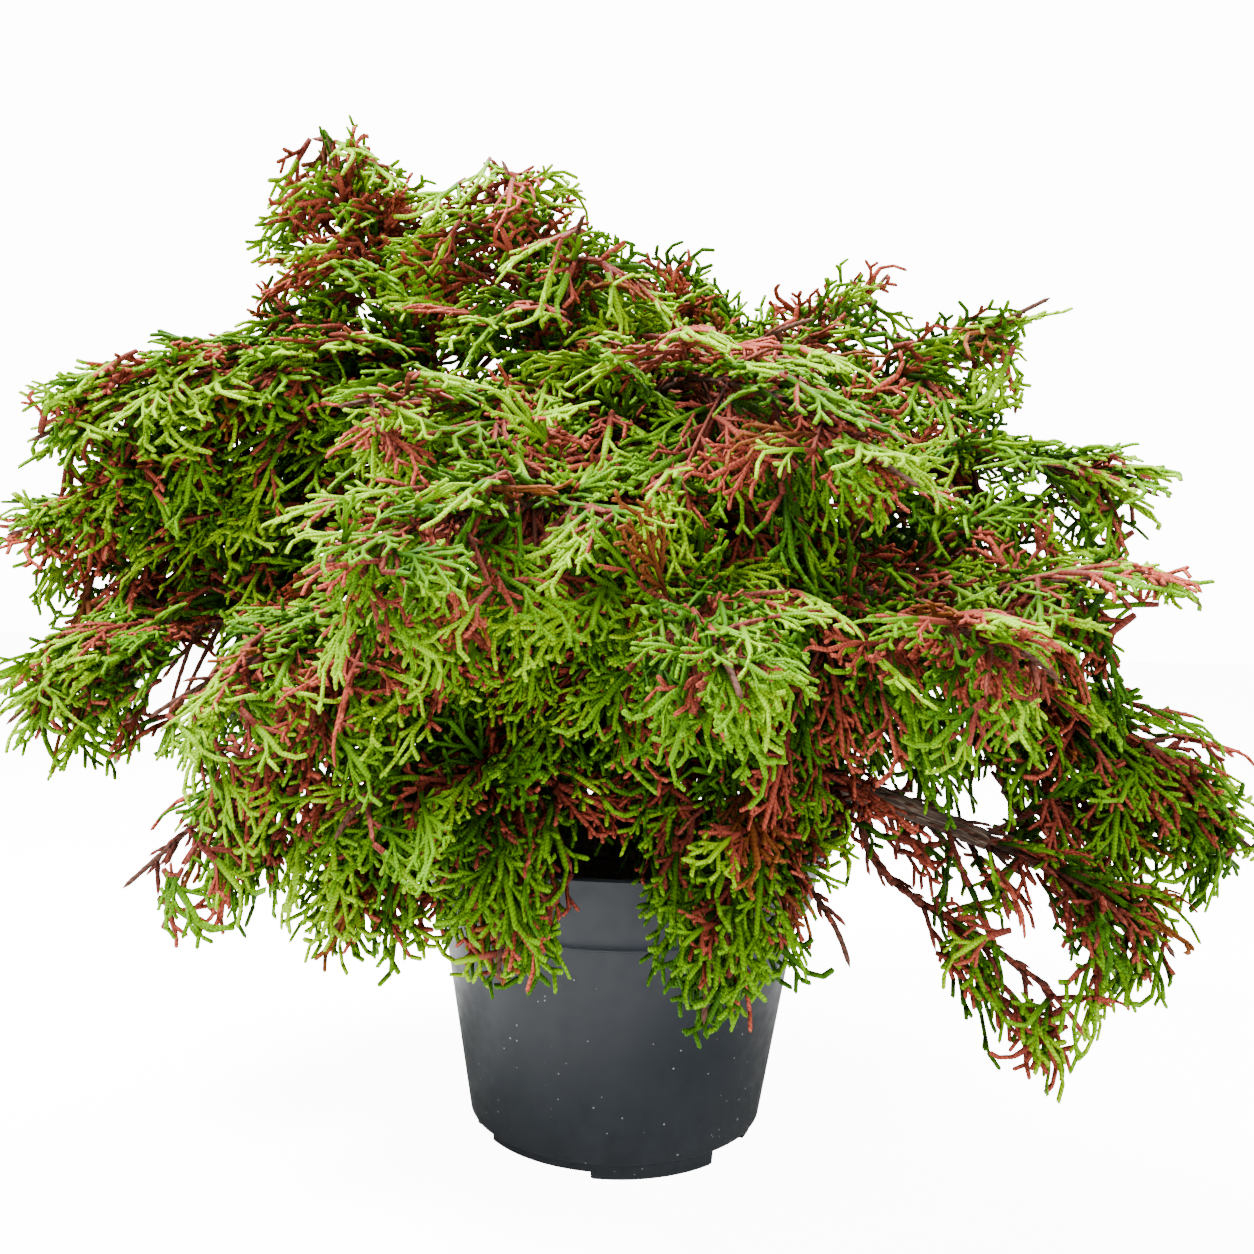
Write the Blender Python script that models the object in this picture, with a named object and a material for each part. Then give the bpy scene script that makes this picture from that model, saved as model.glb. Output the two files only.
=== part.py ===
"""Dwarf hinoki cypress in its round nursery pot.

A low, wide, arching conifer: a short leaning trunk, boughs that fork from it,
and a mass of flat toothed sprays at the end of each bough. The model is in
metres, +Z up, and the tables of places below are in millimetres. The origin is
the middle of the pot's flat underside, with the front at -Y. Azimuths are in
degrees, 0 towards the front (-Y) and 90 towards +X.
"""
import math
import random

import bmesh
import bpy
import numpy as np
from mathutils import Matrix, Vector

MM = 0.001
GAP = 0.3 * MM
JOIN_HALF_LENGTH = 3.0 * MM
ROUND_SHADING = 40.0
LIMB_SHADING = 60.0
DOWN = Vector((0.0, 0.0, -1.0))
UP = Vector((0.0, 0.0, 1.0))

# Pot: a tapered bowl with a foot ring, a seam and a flared collar with two ears
POT_TURN_STEPS = 32
POT_WALL = 2.0 * MM
POT_EDGE = 1.2 * MM
FOOT_RADIUS = 65.0 * MM
FOOT_HEIGHT = 8.0 * MM
FOOT_LEAN = 0.6 * MM
BODY_FOOT_RADIUS = 68.3 * MM
SEAM_RADIUS = 84.0 * MM
SEAM_HEIGHT = 105.0 * MM
SEAM_LEDGE = 3.2 * MM
COLLAR_RADIUS = 91.0 * MM
COLLAR_FOOT = 109.6 * MM
COLLAR_HEIGHT = 114.0 * MM
COLLAR_BAND = 8.0 * MM
RIM_RADIUS = 98.5 * MM
RIM_HEIGHT = 138.0 * MM
RIM_ROLL = 2.8 * MM
RIM_ROLL_HEIGHT = 6.0 * MM
RIM_CROWN = 0.6 * MM
FLOOR_TOP = 7.0 * MM
EAR_AZIMUTHS = (-80.0, 100.0)
EAR_HALF_SPAN = 29.0
EAR_RISE = 16.0 * MM
EAR_FLARE = 14.0 * MM
EAR_STEPS = 12
EAR_ROOT_DEPTH = 7.0 * MM
EAR_ROOT_INSET = 3.4 * MM
EAR_END_RISE = 0.08
EAR_SQUARENESS = 4
EAR_SIDE_ROOM = 3.0
RIM_INSET = 14.0 * MM
CUTTER_STEPS = 8
CUTTER_ROOM = 6.0 * MM
CUTTER_BELOW = 1.0 * MM
DRAIN_AZIMUTHS = (53.0, 173.0, 293.0)
DRAIN_HALF_SPAN = 11.0
DRAIN_HEIGHT = 7.5 * MM
DRAIN_INNER_RADIUS = 52.0 * MM
RECESS_AZIMUTHS = (87.5, 207.5, 327.5)
RECESS_HALF_SPAN = 23.5
RECESS_HEIGHT = 3.6 * MM
RECESS_INNER_RADIUS = 44.0 * MM

# Potting mix: fills the pot to just under its rim, flat round the trunk
MIX_TURN_STEPS = 20
MIX_TOP = 127.0 * MM
MIX_FALL = 4.0 * MM
MIX_FLAT_RADIUS = 26.0 * MM
MIX_EDGE_RADIUS = 88.0 * MM
MIX_SHOULDER_SHARE = 0.7
MIX_SHOULDER_FALL = 0.4
WALL_GAP = 0.6 * MM

# Trunk: flat cut on the mix, root flare, true taper, lean to the left and back
TRUNK_SIDES = 12
TRUNK_STEPS = 9
TRUNK_RING_CROWDING = 1.25
TRUNK_FOOT = (5.0, -3.0)
TRUNK_TOP = (-20.0, 8.0, 312.0)
TRUNK_BULGE = (10.0, -6.0)
TRUNK_RADIUS = 11.5 * MM
TRUNK_TOP_RADIUS = 6.4 * MM
FLARE_EXTRA = 6.5 * MM
FLARE_REACH = 0.10

# Boughs: one tapering limb each
BOUGH_SIDES = 5
BOUGH_STEPS = 6
BOUGH_END_RADIUS = 2.5 * MM
BOUGH_TAPER = 0.019
LEVEL_RUN_SHARE = 0.5
LEVEL_END_DROP = Vector((0.0, 0.0, -0.18))
STEEP_END_LIFT = Vector((0.0, 0.0, 0.25))
FORK_LIFT = Vector((0.0, 0.0, 0.35))
BEND_GRIP = 0.36

# Columns: name, carrier, share of the carrier's length where it leaves,
# then the far end as azimuth in degrees, reach and height in millimetres
BOUGHS = (
    ("bough_left_high", "trunk", 0.93, -97, 112, 350),
    ("bough_peak", "bough_left_high", 0.86, -103, 124, 384),
    ("bough_second_peak", "trunk", 0.985, -119, 58, 374),
    ("bough_ridge", "trunk", 1.00, 165, 36, 352),
    ("bough_right_crest", "trunk", 0.88, 105, 86, 336),
    ("bough_right_upper", "trunk", 0.74, 82, 100, 304),
    ("bough_right_mid", "trunk", 0.60, 58, 146, 252),
    ("bough_right_low", "trunk", 0.44, 80, 128, 222),
    ("bough_right_skirt", "trunk", 0.27, 63, 172, 152),
    ("bough_left_skirt", "trunk", 0.24, -60, 128, 188),
    ("bough_left_low", "trunk", 0.42, -84, 128, 236),
    ("bough_left_mid", "trunk", 0.62, -95, 118, 282),
    ("bough_front_left", "trunk", 0.54, -41, 96, 240),
    ("bough_front_high", "trunk", 0.72, -8, 84, 284),
    ("bough_front_low", "trunk", 0.38, -24, 88, 196),
    ("bough_front_right_low", "trunk", 0.32, 28, 92, 192),
    ("bough_crown_front", "trunk", 0.90, 10, 46, 334),
    ("bough_back_left_high", "trunk", 0.82, -140, 84, 330),
    ("bough_back_left_low", "trunk", 0.48, -142, 100, 232),
    ("bough_back_high", "trunk", 0.68, 163, 84, 318),
    ("bough_back_low", "trunk", 0.34, 178, 100, 206),
    ("bough_back_right", "trunk", 0.52, 133, 104, 262),
)

# Foliage masses: each grows from one stem by the same seeded rule
STEM_SIDES = 3
STEM_STEPS = 6
STEM_RADIUS = 2.3 * MM
STEM_TIP_RADIUS = 0.8 * MM
STEM_LEAST_RUN = 5.0 * MM
TWIG_RADIUS = 1.4 * MM
SPRAY_NECK = 0.22
SIDE_FINGER = 0.56
SIDE_FINGER_LOSS = 0.18
FINGER_START = 0.5
TIP_FINGER = 0.36
FINGER_LEAN = 40.0
SPRAY_DROOP = 0.20
SPRAY_ROOT_HALF = 1.2 * MM
SPRAY_TIP_HALF = 0.5 * MM
SPACE_MARGIN = 1.1 * MM
LIMB_MARGIN = 1.3 * MM
POT_MARGIN = 3.0 * MM
SEED = 20

# Columns: name, carrier, share of the carrier's length, the tip as azimuth,
# reach and height, the width across the sprays in millimetres, then how
# steeply the tip points: -90 straight down, 90 straight up
MASSES = (
    ("mass_left_high", "bough_left_high", 1.00, -81, 266, 318, 150, -30),
    ("mass_left_high_back", "bough_left_high", 0.70, -100, 208, 374, 145, 0),
    ("mass_peak", "bough_peak", 1.00, -102, 158, 474, 165, 70),
    ("mass_second_peak", "bough_second_peak", 1.00, -121, 80, 464, 155, 55),
    ("mass_ridge", "bough_ridge", 1.00, 158, 72, 434, 165, 45),
    ("mass_ridge_right", "bough_ridge", 0.60, 88, 84, 392, 140, 10),
    ("mass_crown_top", "bough_second_peak", 0.62, -20, 66, 408, 145, 10),
    ("mass_right_crest", "bough_right_crest", 0.66, 120, 154, 422, 120, 50),
    ("mass_right_shoulder", "bough_right_crest", 1.00, 88, 192, 392, 130, 25),
    ("mass_right_upper", "bough_right_upper", 1.00, 84, 240, 308, 160, -25),
    ("mass_right_mid", "bough_right_mid", 1.00, 69, 256, 236, 140, -45),
    ("mass_right_front", "bough_right_mid", 0.66, 40, 226, 226, 140, -40),
    ("mass_right_low", "bough_right_low", 1.00, 79, 282, 152, 150, -35),
    ("mass_right_skirt", "bough_right_skirt", 1.00, 66, 242, 112, 115, -60),
    ("mass_hanger", "bough_right_skirt", 0.66, 52, 210, 76, 110, -65),
    ("mass_left_skirt", "bough_left_skirt", 1.00, -71, 226, 144, 130, -35),
    ("mass_left_skirt_low", "bough_left_skirt", 0.80, -46, 156, 112, 120, -72),
    ("mass_left_low", "bough_left_low", 1.00, -84, 280, 184, 140, -45),
    ("mass_left_mid", "bough_left_mid", 1.00, -91, 296, 270, 150, -20),
    ("mass_front_left", "bough_front_left", 1.00, -52, 220, 202, 150, -35),
    ("mass_front_high", "bough_front_high", 1.00, -27, 222, 256, 150, -25),
    ("mass_front_mid", "bough_front_high", 0.74, 9, 222, 222, 150, -40),
    ("mass_front_low", "bough_front_low", 1.00, -17, 148, 110, 120, -75),
    ("mass_front_skirt", "bough_front_low", 0.66, -36, 176, 160, 130, -60),
    ("mass_front_right_low", "bough_front_right_low", 1.00, 12, 150, 98, 115, -78),
    ("mass_front_right_skirt", "bough_front_right_low", 0.70, 34, 176, 122, 120, -65),
    ("mass_crown_front_left", "bough_crown_front", 0.66, -42, 164, 318, 150, -20),
    ("mass_crown_front_right", "bough_crown_front", 1.00, 36, 176, 292, 150, -30),
    ("mass_back_left_high", "bough_back_left_high", 1.00, -142, 226, 330, 160, -15),
    ("mass_back_left_low", "bough_back_left_low", 1.00, -130, 244, 200, 150, -40),
    ("mass_back_left_skirt", "bough_back_left_low", 0.70, -158, 204, 140, 140, -60),
    ("mass_back_high", "bough_back_high", 1.00, 166, 216, 322, 160, -15),
    ("mass_back_low", "bough_back_low", 1.00, 178, 226, 134, 140, -55),
    ("mass_back_right_high", "bough_back_right", 1.00, 122, 240, 270, 160, -25),
    ("mass_back_right_low", "bough_back_right", 0.68, 142, 222, 156, 140, -55),
)

# Where sprays leave a stem: share of its length, side in degrees round the
# stem from straight up, length as a share of the mass's width, side pairs
SPRAY_PLAN = (
    (0.08, 78, 0.66, 2),
    (0.16, -80, 0.68, 2),
    (0.30, 12, 0.52, 1),
    (0.45, 88, 0.62, 1),
    (0.53, -86, 0.60, 1),
)
SPRAY_LEAN = 54.0
SPRAY_HANG = 0.45
SPRAY_JITTER = 9.0
SPRAY_LENGTH_SPREAD = 0.08
SPRAY_SCALES = (1.0, 0.85, 0.7, 0.55, 0.42)
SPRAY_SAMPLE_SHARES = (0.5, 0.75, 0.9)
FACE_SIDEWAYS = 0.5
FACE_UP = 0.4
TIP_SPRAY_START = 0.50
TIP_SPRAY_PAIRS = 2
CROWN_CENTRE = Vector((-10.0, 0.0, 220.0)) * MM

POT_COLOUR = (0.040, 0.048, 0.056, 1.0)
MIX_COLOUR = (0.045, 0.030, 0.020, 1.0)
BARK_COLOUR = (0.115, 0.075, 0.055, 1.0)
FOLIAGE_COLOURS = (
    (0.20, 0.42, 0.04, 1.0),
    (0.12, 0.30, 0.04, 1.0),
    (0.30, 0.50, 0.04, 1.0),
)


def empty_scene():
    """Start from nothing."""
    for item in list(bpy.data.objects):
        bpy.data.objects.remove(item, do_unlink=True)


def finish(name, colour, roughness):
    """A plain Principled material for one sub-part."""
    material = bpy.data.materials.new(name)
    material.use_nodes = True
    shader = material.node_tree.nodes["Principled BSDF"]
    shader.inputs["Base Color"].default_value = colour
    shader.inputs["Roughness"].default_value = roughness
    shader.inputs["Metallic"].default_value = 0.0
    return material


def new_object(name, vertices, faces, material=None):
    """One object from its corners and faces, with its normals pointing out."""
    mesh = bpy.data.meshes.new(name)
    mesh.from_pydata([tuple(corner) for corner in vertices], [], faces)
    shape = bmesh.new()
    shape.from_mesh(mesh)
    bmesh.ops.recalc_face_normals(shape, faces=shape.faces)
    shape.to_mesh(mesh)
    shape.free()
    item = bpy.data.objects.new(name, mesh)
    bpy.context.scene.collection.objects.link(item)
    if material is not None:
        mesh.materials.append(material)
    return item


def polar(azimuth, reach, height):
    """A place given by azimuth, and by reach and height in millimetres."""
    turn = math.radians(azimuth)
    return Vector((reach * math.sin(turn), -reach * math.cos(turn), height)) * MM


def turned(profile, steps, name, material):
    """A body of revolution from a closed (radius, height) profile."""
    vertices = []
    rings = []
    for radius, height in profile:
        if radius < 1e-6:
            rings.append([len(vertices)] * steps)
            vertices.append((0.0, 0.0, height))
            continue
        rings.append([len(vertices) + step for step in range(steps)])
        for step in range(steps):
            turn = 2.0 * math.pi * step / steps
            vertices.append((radius * math.cos(turn), radius * math.sin(turn), height))
    faces = []
    for lower, upper in zip(rings, rings[1:]):
        for step in range(steps):
            after = (step + 1) % steps
            corners = [lower[step], lower[after], upper[after], upper[step]]
            corners = list(dict.fromkeys(corners))
            if len(corners) > 2:
                faces.append(corners)
    return new_object(name, vertices, faces, material)


def square_tube_faces(steps):
    """Faces of a closed tube with four corners to each of its rings."""
    faces = [(0, 1, 2, 3), tuple(4 * steps + corner for corner in (3, 2, 1, 0))]
    for step in range(steps):
        here = 4 * step
        for corner in range(4):
            after = (corner + 1) % 4
            faces.append((here + corner, here + after, here + 4 + after, here + 4 + corner))
    return faces


def ring_sector(azimuth, half_span, inner, outer, bottom, top, name):
    """A wedge of a ring round the pot's axis, used to cut the foot."""
    vertices = []
    for step in range(CUTTER_STEPS + 1):
        turn = math.radians(azimuth - half_span + 2.0 * half_span * step / CUTTER_STEPS)
        across = Vector((math.sin(turn), -math.cos(turn), 0.0))
        for radius, height in ((inner, bottom), (outer, bottom), (outer, top), (inner, top)):
            vertices.append(across * radius + Vector((0.0, 0.0, height)))
    return new_object(name, vertices, square_tube_faces(CUTTER_STEPS))


def combine(item, others, operation):
    """Join or cut one object with a group of others, which are then removed."""
    group = bpy.data.collections.new(item.name + "_group")
    bpy.context.scene.collection.children.link(group)
    for other in others:
        bpy.context.scene.collection.objects.unlink(other)
        group.objects.link(other)
        other.hide_render = True
        other.display_type = "WIRE"
    modifier = item.modifiers.new("combine", "BOOLEAN")
    modifier.operation = operation
    modifier.operand_type = "COLLECTION"
    modifier.collection = group
    modifier.solver = "EXACT"
    apply_modifiers(item)
    for other in others:
        bpy.data.objects.remove(other, do_unlink=True)
    bpy.data.collections.remove(group)


def apply_modifiers(item):
    """Replace an object's mesh by what its modifiers make of it."""
    graph = bpy.context.evaluated_depsgraph_get()
    made = bpy.data.meshes.new_from_object(item.evaluated_get(graph))
    spent = item.data
    item.modifiers.clear()
    item.data = made
    bpy.data.meshes.remove(spent)


def keep_largest_body(item):
    """Drop loose scraps and sealed hollows that a union leaves behind."""
    shape = bmesh.new()
    shape.from_mesh(item.data)
    bmesh.ops.triangulate(shape, faces=shape.faces)
    waiting = set(shape.verts)
    bodies = []
    while waiting:
        reached = [waiting.pop()]
        for corner in reached:
            for edge in corner.link_edges:
                other = edge.other_vert(corner)
                if other in waiting:
                    waiting.remove(other)
                    reached.append(other)
        bodies.append(reached)
    bodies.sort(key=len, reverse=True)
    loose = [corner for body in bodies[1:] for corner in body]
    bmesh.ops.delete(shape, geom=loose, context="VERTS")
    bmesh.ops.recalc_face_normals(shape, faces=shape.faces)
    shape.to_mesh(item.data)
    shape.free()


def shade_round(item, angle=ROUND_SHADING):
    """Smooth shading with creases kept."""
    item.data.shade_smooth()
    item.data.set_sharp_from_angle(angle=math.radians(angle))


def pot_profile():
    """Outer wall from the underside up, over the rim and down the inside."""
    outer = [
        (0.0, 0.0),
        (FOOT_RADIUS - POT_EDGE, 0.0),
        (FOOT_RADIUS, POT_EDGE),
        (FOOT_RADIUS + FOOT_LEAN, FOOT_HEIGHT),
        (BODY_FOOT_RADIUS - FOOT_LEAN, FOOT_HEIGHT + 0.5 * FOOT_LEAN),
        (BODY_FOOT_RADIUS, FOOT_HEIGHT + POT_EDGE),
        (SEAM_RADIUS, SEAM_HEIGHT),
        (SEAM_RADIUS + SEAM_LEDGE, SEAM_HEIGHT + POT_EDGE),
        (COLLAR_RADIUS - POT_EDGE, COLLAR_FOOT),
        (COLLAR_RADIUS, COLLAR_HEIGHT),
        (COLLAR_RADIUS + POT_EDGE, COLLAR_HEIGHT + COLLAR_BAND),
        (RIM_RADIUS - RIM_ROLL, RIM_HEIGHT - RIM_ROLL_HEIGHT),
        (RIM_RADIUS, RIM_HEIGHT - POT_EDGE),
        (RIM_RADIUS - RIM_CROWN, RIM_HEIGHT),
    ]
    inner = [
        (RIM_RADIUS - RIM_CROWN - POT_WALL, RIM_HEIGHT),
        (RIM_RADIUS - RIM_ROLL - POT_WALL, RIM_HEIGHT - RIM_ROLL_HEIGHT),
        (COLLAR_RADIUS + POT_EDGE - POT_WALL, COLLAR_HEIGHT + COLLAR_BAND),
        (COLLAR_RADIUS - POT_EDGE - POT_WALL, COLLAR_FOOT + POT_EDGE),
        (SEAM_RADIUS - POT_WALL, SEAM_HEIGHT + POT_EDGE),
        (BODY_FOOT_RADIUS - POT_WALL, FOOT_HEIGHT + POT_EDGE),
        (BODY_FOOT_RADIUS - 2.0 * POT_WALL, FLOOR_TOP),
        (0.0, FLOOR_TOP),
    ]
    return outer + inner


def pot_ear(azimuth):
    """A flared grip ear on the rim, rounded off at both ends."""
    vertices = []
    for step in range(EAR_STEPS + 1):
        share = 2.0 * step / EAR_STEPS - 1.0
        turn = math.radians(azimuth + EAR_HALF_SPAN * share)
        across = Vector((math.sin(turn), -math.cos(turn), 0.0))
        round_off = math.sqrt(1.0 - abs(share) ** EAR_SQUARENESS)
        rise = EAR_END_RISE + (1.0 - EAR_END_RISE) * round_off
        low = across * (RIM_RADIUS - EAR_ROOT_INSET) + UP * (RIM_HEIGHT - EAR_ROOT_DEPTH)
        lean = (across * EAR_FLARE + UP * (EAR_RISE + EAR_ROOT_DEPTH)) * rise
        half_wall = across * (0.5 * POT_WALL)
        vertices += [low - half_wall, low + half_wall]
        vertices += [low + lean + half_wall, low + lean - half_wall]
    return new_object("ear", vertices, square_tube_faces(EAR_STEPS))


def build_pot():
    """The nursery pot with its ears, drain notches and foot recesses."""
    plastic = finish("pot_plastic", POT_COLOUR, 0.5)
    pot = turned(pot_profile(), POT_TURN_STEPS, "pot", plastic)
    combine(pot, [pot_ear(azimuth) for azimuth in EAR_AZIMUTHS], "UNION")
    cutters = []
    outside = BODY_FOOT_RADIUS + CUTTER_ROOM
    for azimuth in DRAIN_AZIMUTHS:
        cutters.append(ring_sector(azimuth, DRAIN_HALF_SPAN, DRAIN_INNER_RADIUS,
                                   outside, -CUTTER_BELOW, DRAIN_HEIGHT, "drain"))
    for azimuth in RECESS_AZIMUTHS:
        cutters.append(ring_sector(azimuth, RECESS_HALF_SPAN, RECESS_INNER_RADIUS,
                                   outside, -CUTTER_BELOW, RECESS_HEIGHT, "recess"))
    combine(pot, cutters, "DIFFERENCE")
    keep_largest_body(pot)
    shade_round(pot)


def build_potting_mix():
    """The filling, clear of the wall, with a level patch under the trunk."""
    soil = finish("potting_mix_earth", MIX_COLOUR, 0.95)
    inside = POT_WALL + WALL_GAP
    profile = [
        (0.0, FLOOR_TOP + GAP),
        (BODY_FOOT_RADIUS - POT_WALL - inside, FLOOR_TOP + GAP),
        (BODY_FOOT_RADIUS - inside, FOOT_HEIGHT + POT_EDGE + GAP),
        (SEAM_RADIUS - inside, SEAM_HEIGHT + POT_EDGE + GAP),
        (COLLAR_RADIUS - POT_EDGE - inside, COLLAR_FOOT + POT_EDGE + GAP),
        (MIX_EDGE_RADIUS, MIX_TOP - MIX_FALL),
        (MIX_SHOULDER_SHARE * MIX_EDGE_RADIUS, MIX_TOP - MIX_SHOULDER_FALL * MIX_FALL),
        (MIX_FLAT_RADIUS, MIX_TOP),
        (0.0, MIX_TOP),
    ]
    mix = turned(profile, MIX_TURN_STEPS, "potting_mix", soil)
    shade_round(mix)


class Limb:
    """A curved tapering tube: its axis, its radii and its rings of corners."""

    def __init__(self, points, radii, sides, leaving):
        self.points = points
        self.radii = radii
        self.sides = sides
        self.length = sum((b - a).length for a, b in zip(points, points[1:]))
        self.lows = np.array([tuple(point) for point in points[:-1]])
        self.highs = np.array([tuple(point) for point in points[1:]])
        self.rings = self.make_rings(leaving)

    def make_rings(self, leaving):
        """Rings of corners round the axis, the first one square to its start."""
        side = leaving.orthogonal().normalized()
        rings = []
        for index, point in enumerate(self.points):
            ahead = self.heading(index / (len(self.points) - 1)) if index else leaving
            side = square_to(ahead, side)
            up = ahead.cross(side)
            turns = [2.0 * math.pi * corner / self.sides for corner in range(self.sides)]
            spokes = [side * math.cos(turn) + up * math.sin(turn) for turn in turns]
            rings.append([point + spoke * self.radii[index] for spoke in spokes])
        return rings

    def at(self, share):
        """Point and direction at a share of the length."""
        place = min(max(share, 0.0), 1.0) * (len(self.points) - 1)
        index = min(int(place), len(self.points) - 2)
        here = self.points[index].lerp(self.points[index + 1], place - index)
        return here, self.heading(share)

    def heading(self, share):
        """Smooth direction along the axis."""
        last = len(self.points) - 1
        place = min(max(share, 0.0), 1.0) * last
        before = self.points[max(0, int(math.ceil(place)) - 1)]
        after = self.points[min(last, int(place) + 1)]
        return (after - before).normalized()

    def surface(self, share, centre, away):
        """How far the faceted surface stands out from a point of the axis."""
        spread = JOIN_HALF_LENGTH / self.length
        furthest = 0.0
        for nudge in (-spread, 0.0, spread):
            place = min(max(share + nudge, 0.0), 1.0) * (len(self.points) - 1)
            index = min(int(place), len(self.points) - 2)
            for low, high in zip(self.rings[index], self.rings[index + 1]):
                corner = low.lerp(high, place - index)
                furthest = max(furthest, (corner - centre).dot(away))
        return furthest

    def distance(self, places):
        """Distance of each place to the axis."""
        run = self.highs - self.lows
        squared = (run * run).sum(axis=1)
        offset = places[:, None, :] - self.lows[None, :, :]
        share = np.clip((offset * run).sum(axis=2) / squared, 0.0, 1.0)
        nearest = offset - share[:, :, None] * run
        return np.sqrt((nearest * nearest).sum(axis=2)).min(axis=1)


def bend(start, leaving, end, arriving, steps):
    """Points on one smooth bend between two places and two directions."""
    grip = (end - start).length * BEND_GRIP
    first = start + leaving * grip
    second = end - arriving * grip
    points = []
    for step in range(steps + 1):
        t = step / steps
        u = 1.0 - t
        points.append(start * u ** 3 + first * 3.0 * u * u * t
                      + second * 3.0 * u * t * t + end * t ** 3)
    return points


def taper(first, last, steps):
    """Radii that fall evenly from first to last."""
    return [first + (last - first) * step / steps for step in range(steps + 1)]


def tube(limb, name, material=None):
    """A closed tapering tube along a limb."""
    sides = limb.sides
    vertices = [corner for ring in limb.rings for corner in ring]
    faces = [tuple(reversed(range(sides)))]
    for index in range(len(limb.rings) - 1):
        for corner in range(sides):
            after = (corner + 1) % sides
            here = index * sides
            faces.append((here + corner, here + after,
                          here + sides + after, here + sides + corner))
    faces.append(tuple(range(len(vertices) - sides, len(vertices))))
    return new_object(name, vertices, faces, material)


def join_on(carrier, share, target):
    """Where a limb starts on its carrier, and the way it sets off."""
    centre, ahead = carrier.at(share)
    if share >= 1.0:
        return centre + ahead * GAP, ahead
    away = square_to(ahead, target - centre)
    return centre + away * (carrier.surface(share, centre, away) + GAP), away


def trunk_limb():
    """The trunk's axis, with its lean, taper and root flare."""
    foot = Vector((TRUNK_FOOT[0] * MM, TRUNK_FOOT[1] * MM, MIX_TOP + GAP))
    top = Vector(TRUNK_TOP) * MM
    points = []
    radii = []
    bulge = Vector((TRUNK_BULGE[0], TRUNK_BULGE[1], 0.0)) * MM
    for step in range(TRUNK_STEPS + 1):
        share = (step / TRUNK_STEPS) ** TRUNK_RING_CROWDING
        points.append(foot.lerp(top, share) + bulge * math.sin(math.pi * share))
        flare = FLARE_EXTRA * math.exp(-share / FLARE_REACH)
        radii.append(TRUNK_RADIUS + (TRUNK_TOP_RADIUS - TRUNK_RADIUS) * share + flare)
    return Limb(points, radii, TRUNK_SIDES, UP)


def build_trunk(limb, material):
    """The trunk, its first ring being the level cut at the potting mix."""
    shade_round(tube(limb, "trunk", material), LIMB_SHADING)


def bough_limb(carrier, share, azimuth, reach, height):
    """One bough's axis, rising from its carrier and arching out to its end."""
    end = polar(azimuth, reach, height)
    start, leaving = join_on(carrier, share, end)
    run = end - start
    direct = run.normalized()
    if Vector((run.x, run.y)).length > LEVEL_RUN_SHARE * run.length:
        arriving = (direct + LEVEL_END_DROP).normalized()
        if share >= 1.0:
            leaving = (leaving + FORK_LIFT).normalized()
    else:
        arriving = (direct + STEEP_END_LIFT).normalized()
    points = bend(start, leaving, end, arriving, BOUGH_STEPS)
    thick = BOUGH_END_RADIUS + BOUGH_TAPER * run.length
    return Limb(points, taper(thick, BOUGH_END_RADIUS, BOUGH_STEPS), BOUGH_SIDES, leaving)


def stem_limb(carrier, share, azimuth, reach, height, pitch):
    """One mass's stem, from its bough to its furthest tip."""
    end = polar(azimuth, reach, height)
    start, leaving = join_on(carrier, share, end)
    outward = Vector((end.x - start.x, end.y - start.y, 0.0))
    if outward.length < STEM_LEAST_RUN:
        outward = polar(azimuth, 1.0, 0.0)
    lean = math.radians(pitch)
    arriving = outward.normalized() * math.cos(lean) + UP * math.sin(lean)
    points = bend(start, leaving, end, arriving, STEM_STEPS)
    return Limb(points, taper(STEM_RADIUS, STEM_TIP_RADIUS, STEM_STEPS), STEM_SIDES, leaving)


def clear_of_pot(places):
    """True where places lie clear of the pot, its ears and the mix."""
    radius = np.hypot(places[:, 0], places[:, 1])
    height = places[:, 2]
    azimuth = np.degrees(np.arctan2(places[:, 0], -places[:, 1]))
    by_ear = np.zeros(len(places), dtype=bool)
    for ear in EAR_AZIMUTHS:
        off = np.abs((azimuth - ear + 180.0) % 360.0 - 180.0)
        by_ear |= off < EAR_HALF_SPAN + EAR_SIDE_ROOM
    levels = (0.0, SEAM_HEIGHT, COLLAR_HEIGHT, RIM_HEIGHT)
    wall = np.interp(height, levels, (BODY_FOOT_RADIUS, SEAM_RADIUS, COLLAR_RADIUS, RIM_RADIUS))
    wall = np.where(by_ear & (height > COLLAR_HEIGHT), RIM_RADIUS + EAR_FLARE, wall)
    top = RIM_HEIGHT + np.where(by_ear, EAR_RISE, 0.0)
    outside = radius > wall + POT_MARGIN
    inside = (radius < RIM_RADIUS - RIM_INSET) & (height > MIX_TOP + POT_MARGIN)
    above = height > top + POT_MARGIN
    return bool((outside | inside | above).all())


def has_room(places, own, stems, limbs):
    """True if places keep to the mass's own space and off every limb."""
    if not clear_of_pot(places):
        return False
    mine = stems[own].distance(places)
    for name, stem in stems.items():
        if name != own and (stem.distance(places) < mine + 2.0 * SPACE_MARGIN).any():
            return False
    for limb in limbs:
        if (limb.distance(places) < max(limb.radii) + LIMB_MARGIN).any():
            return False
    return True


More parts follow.
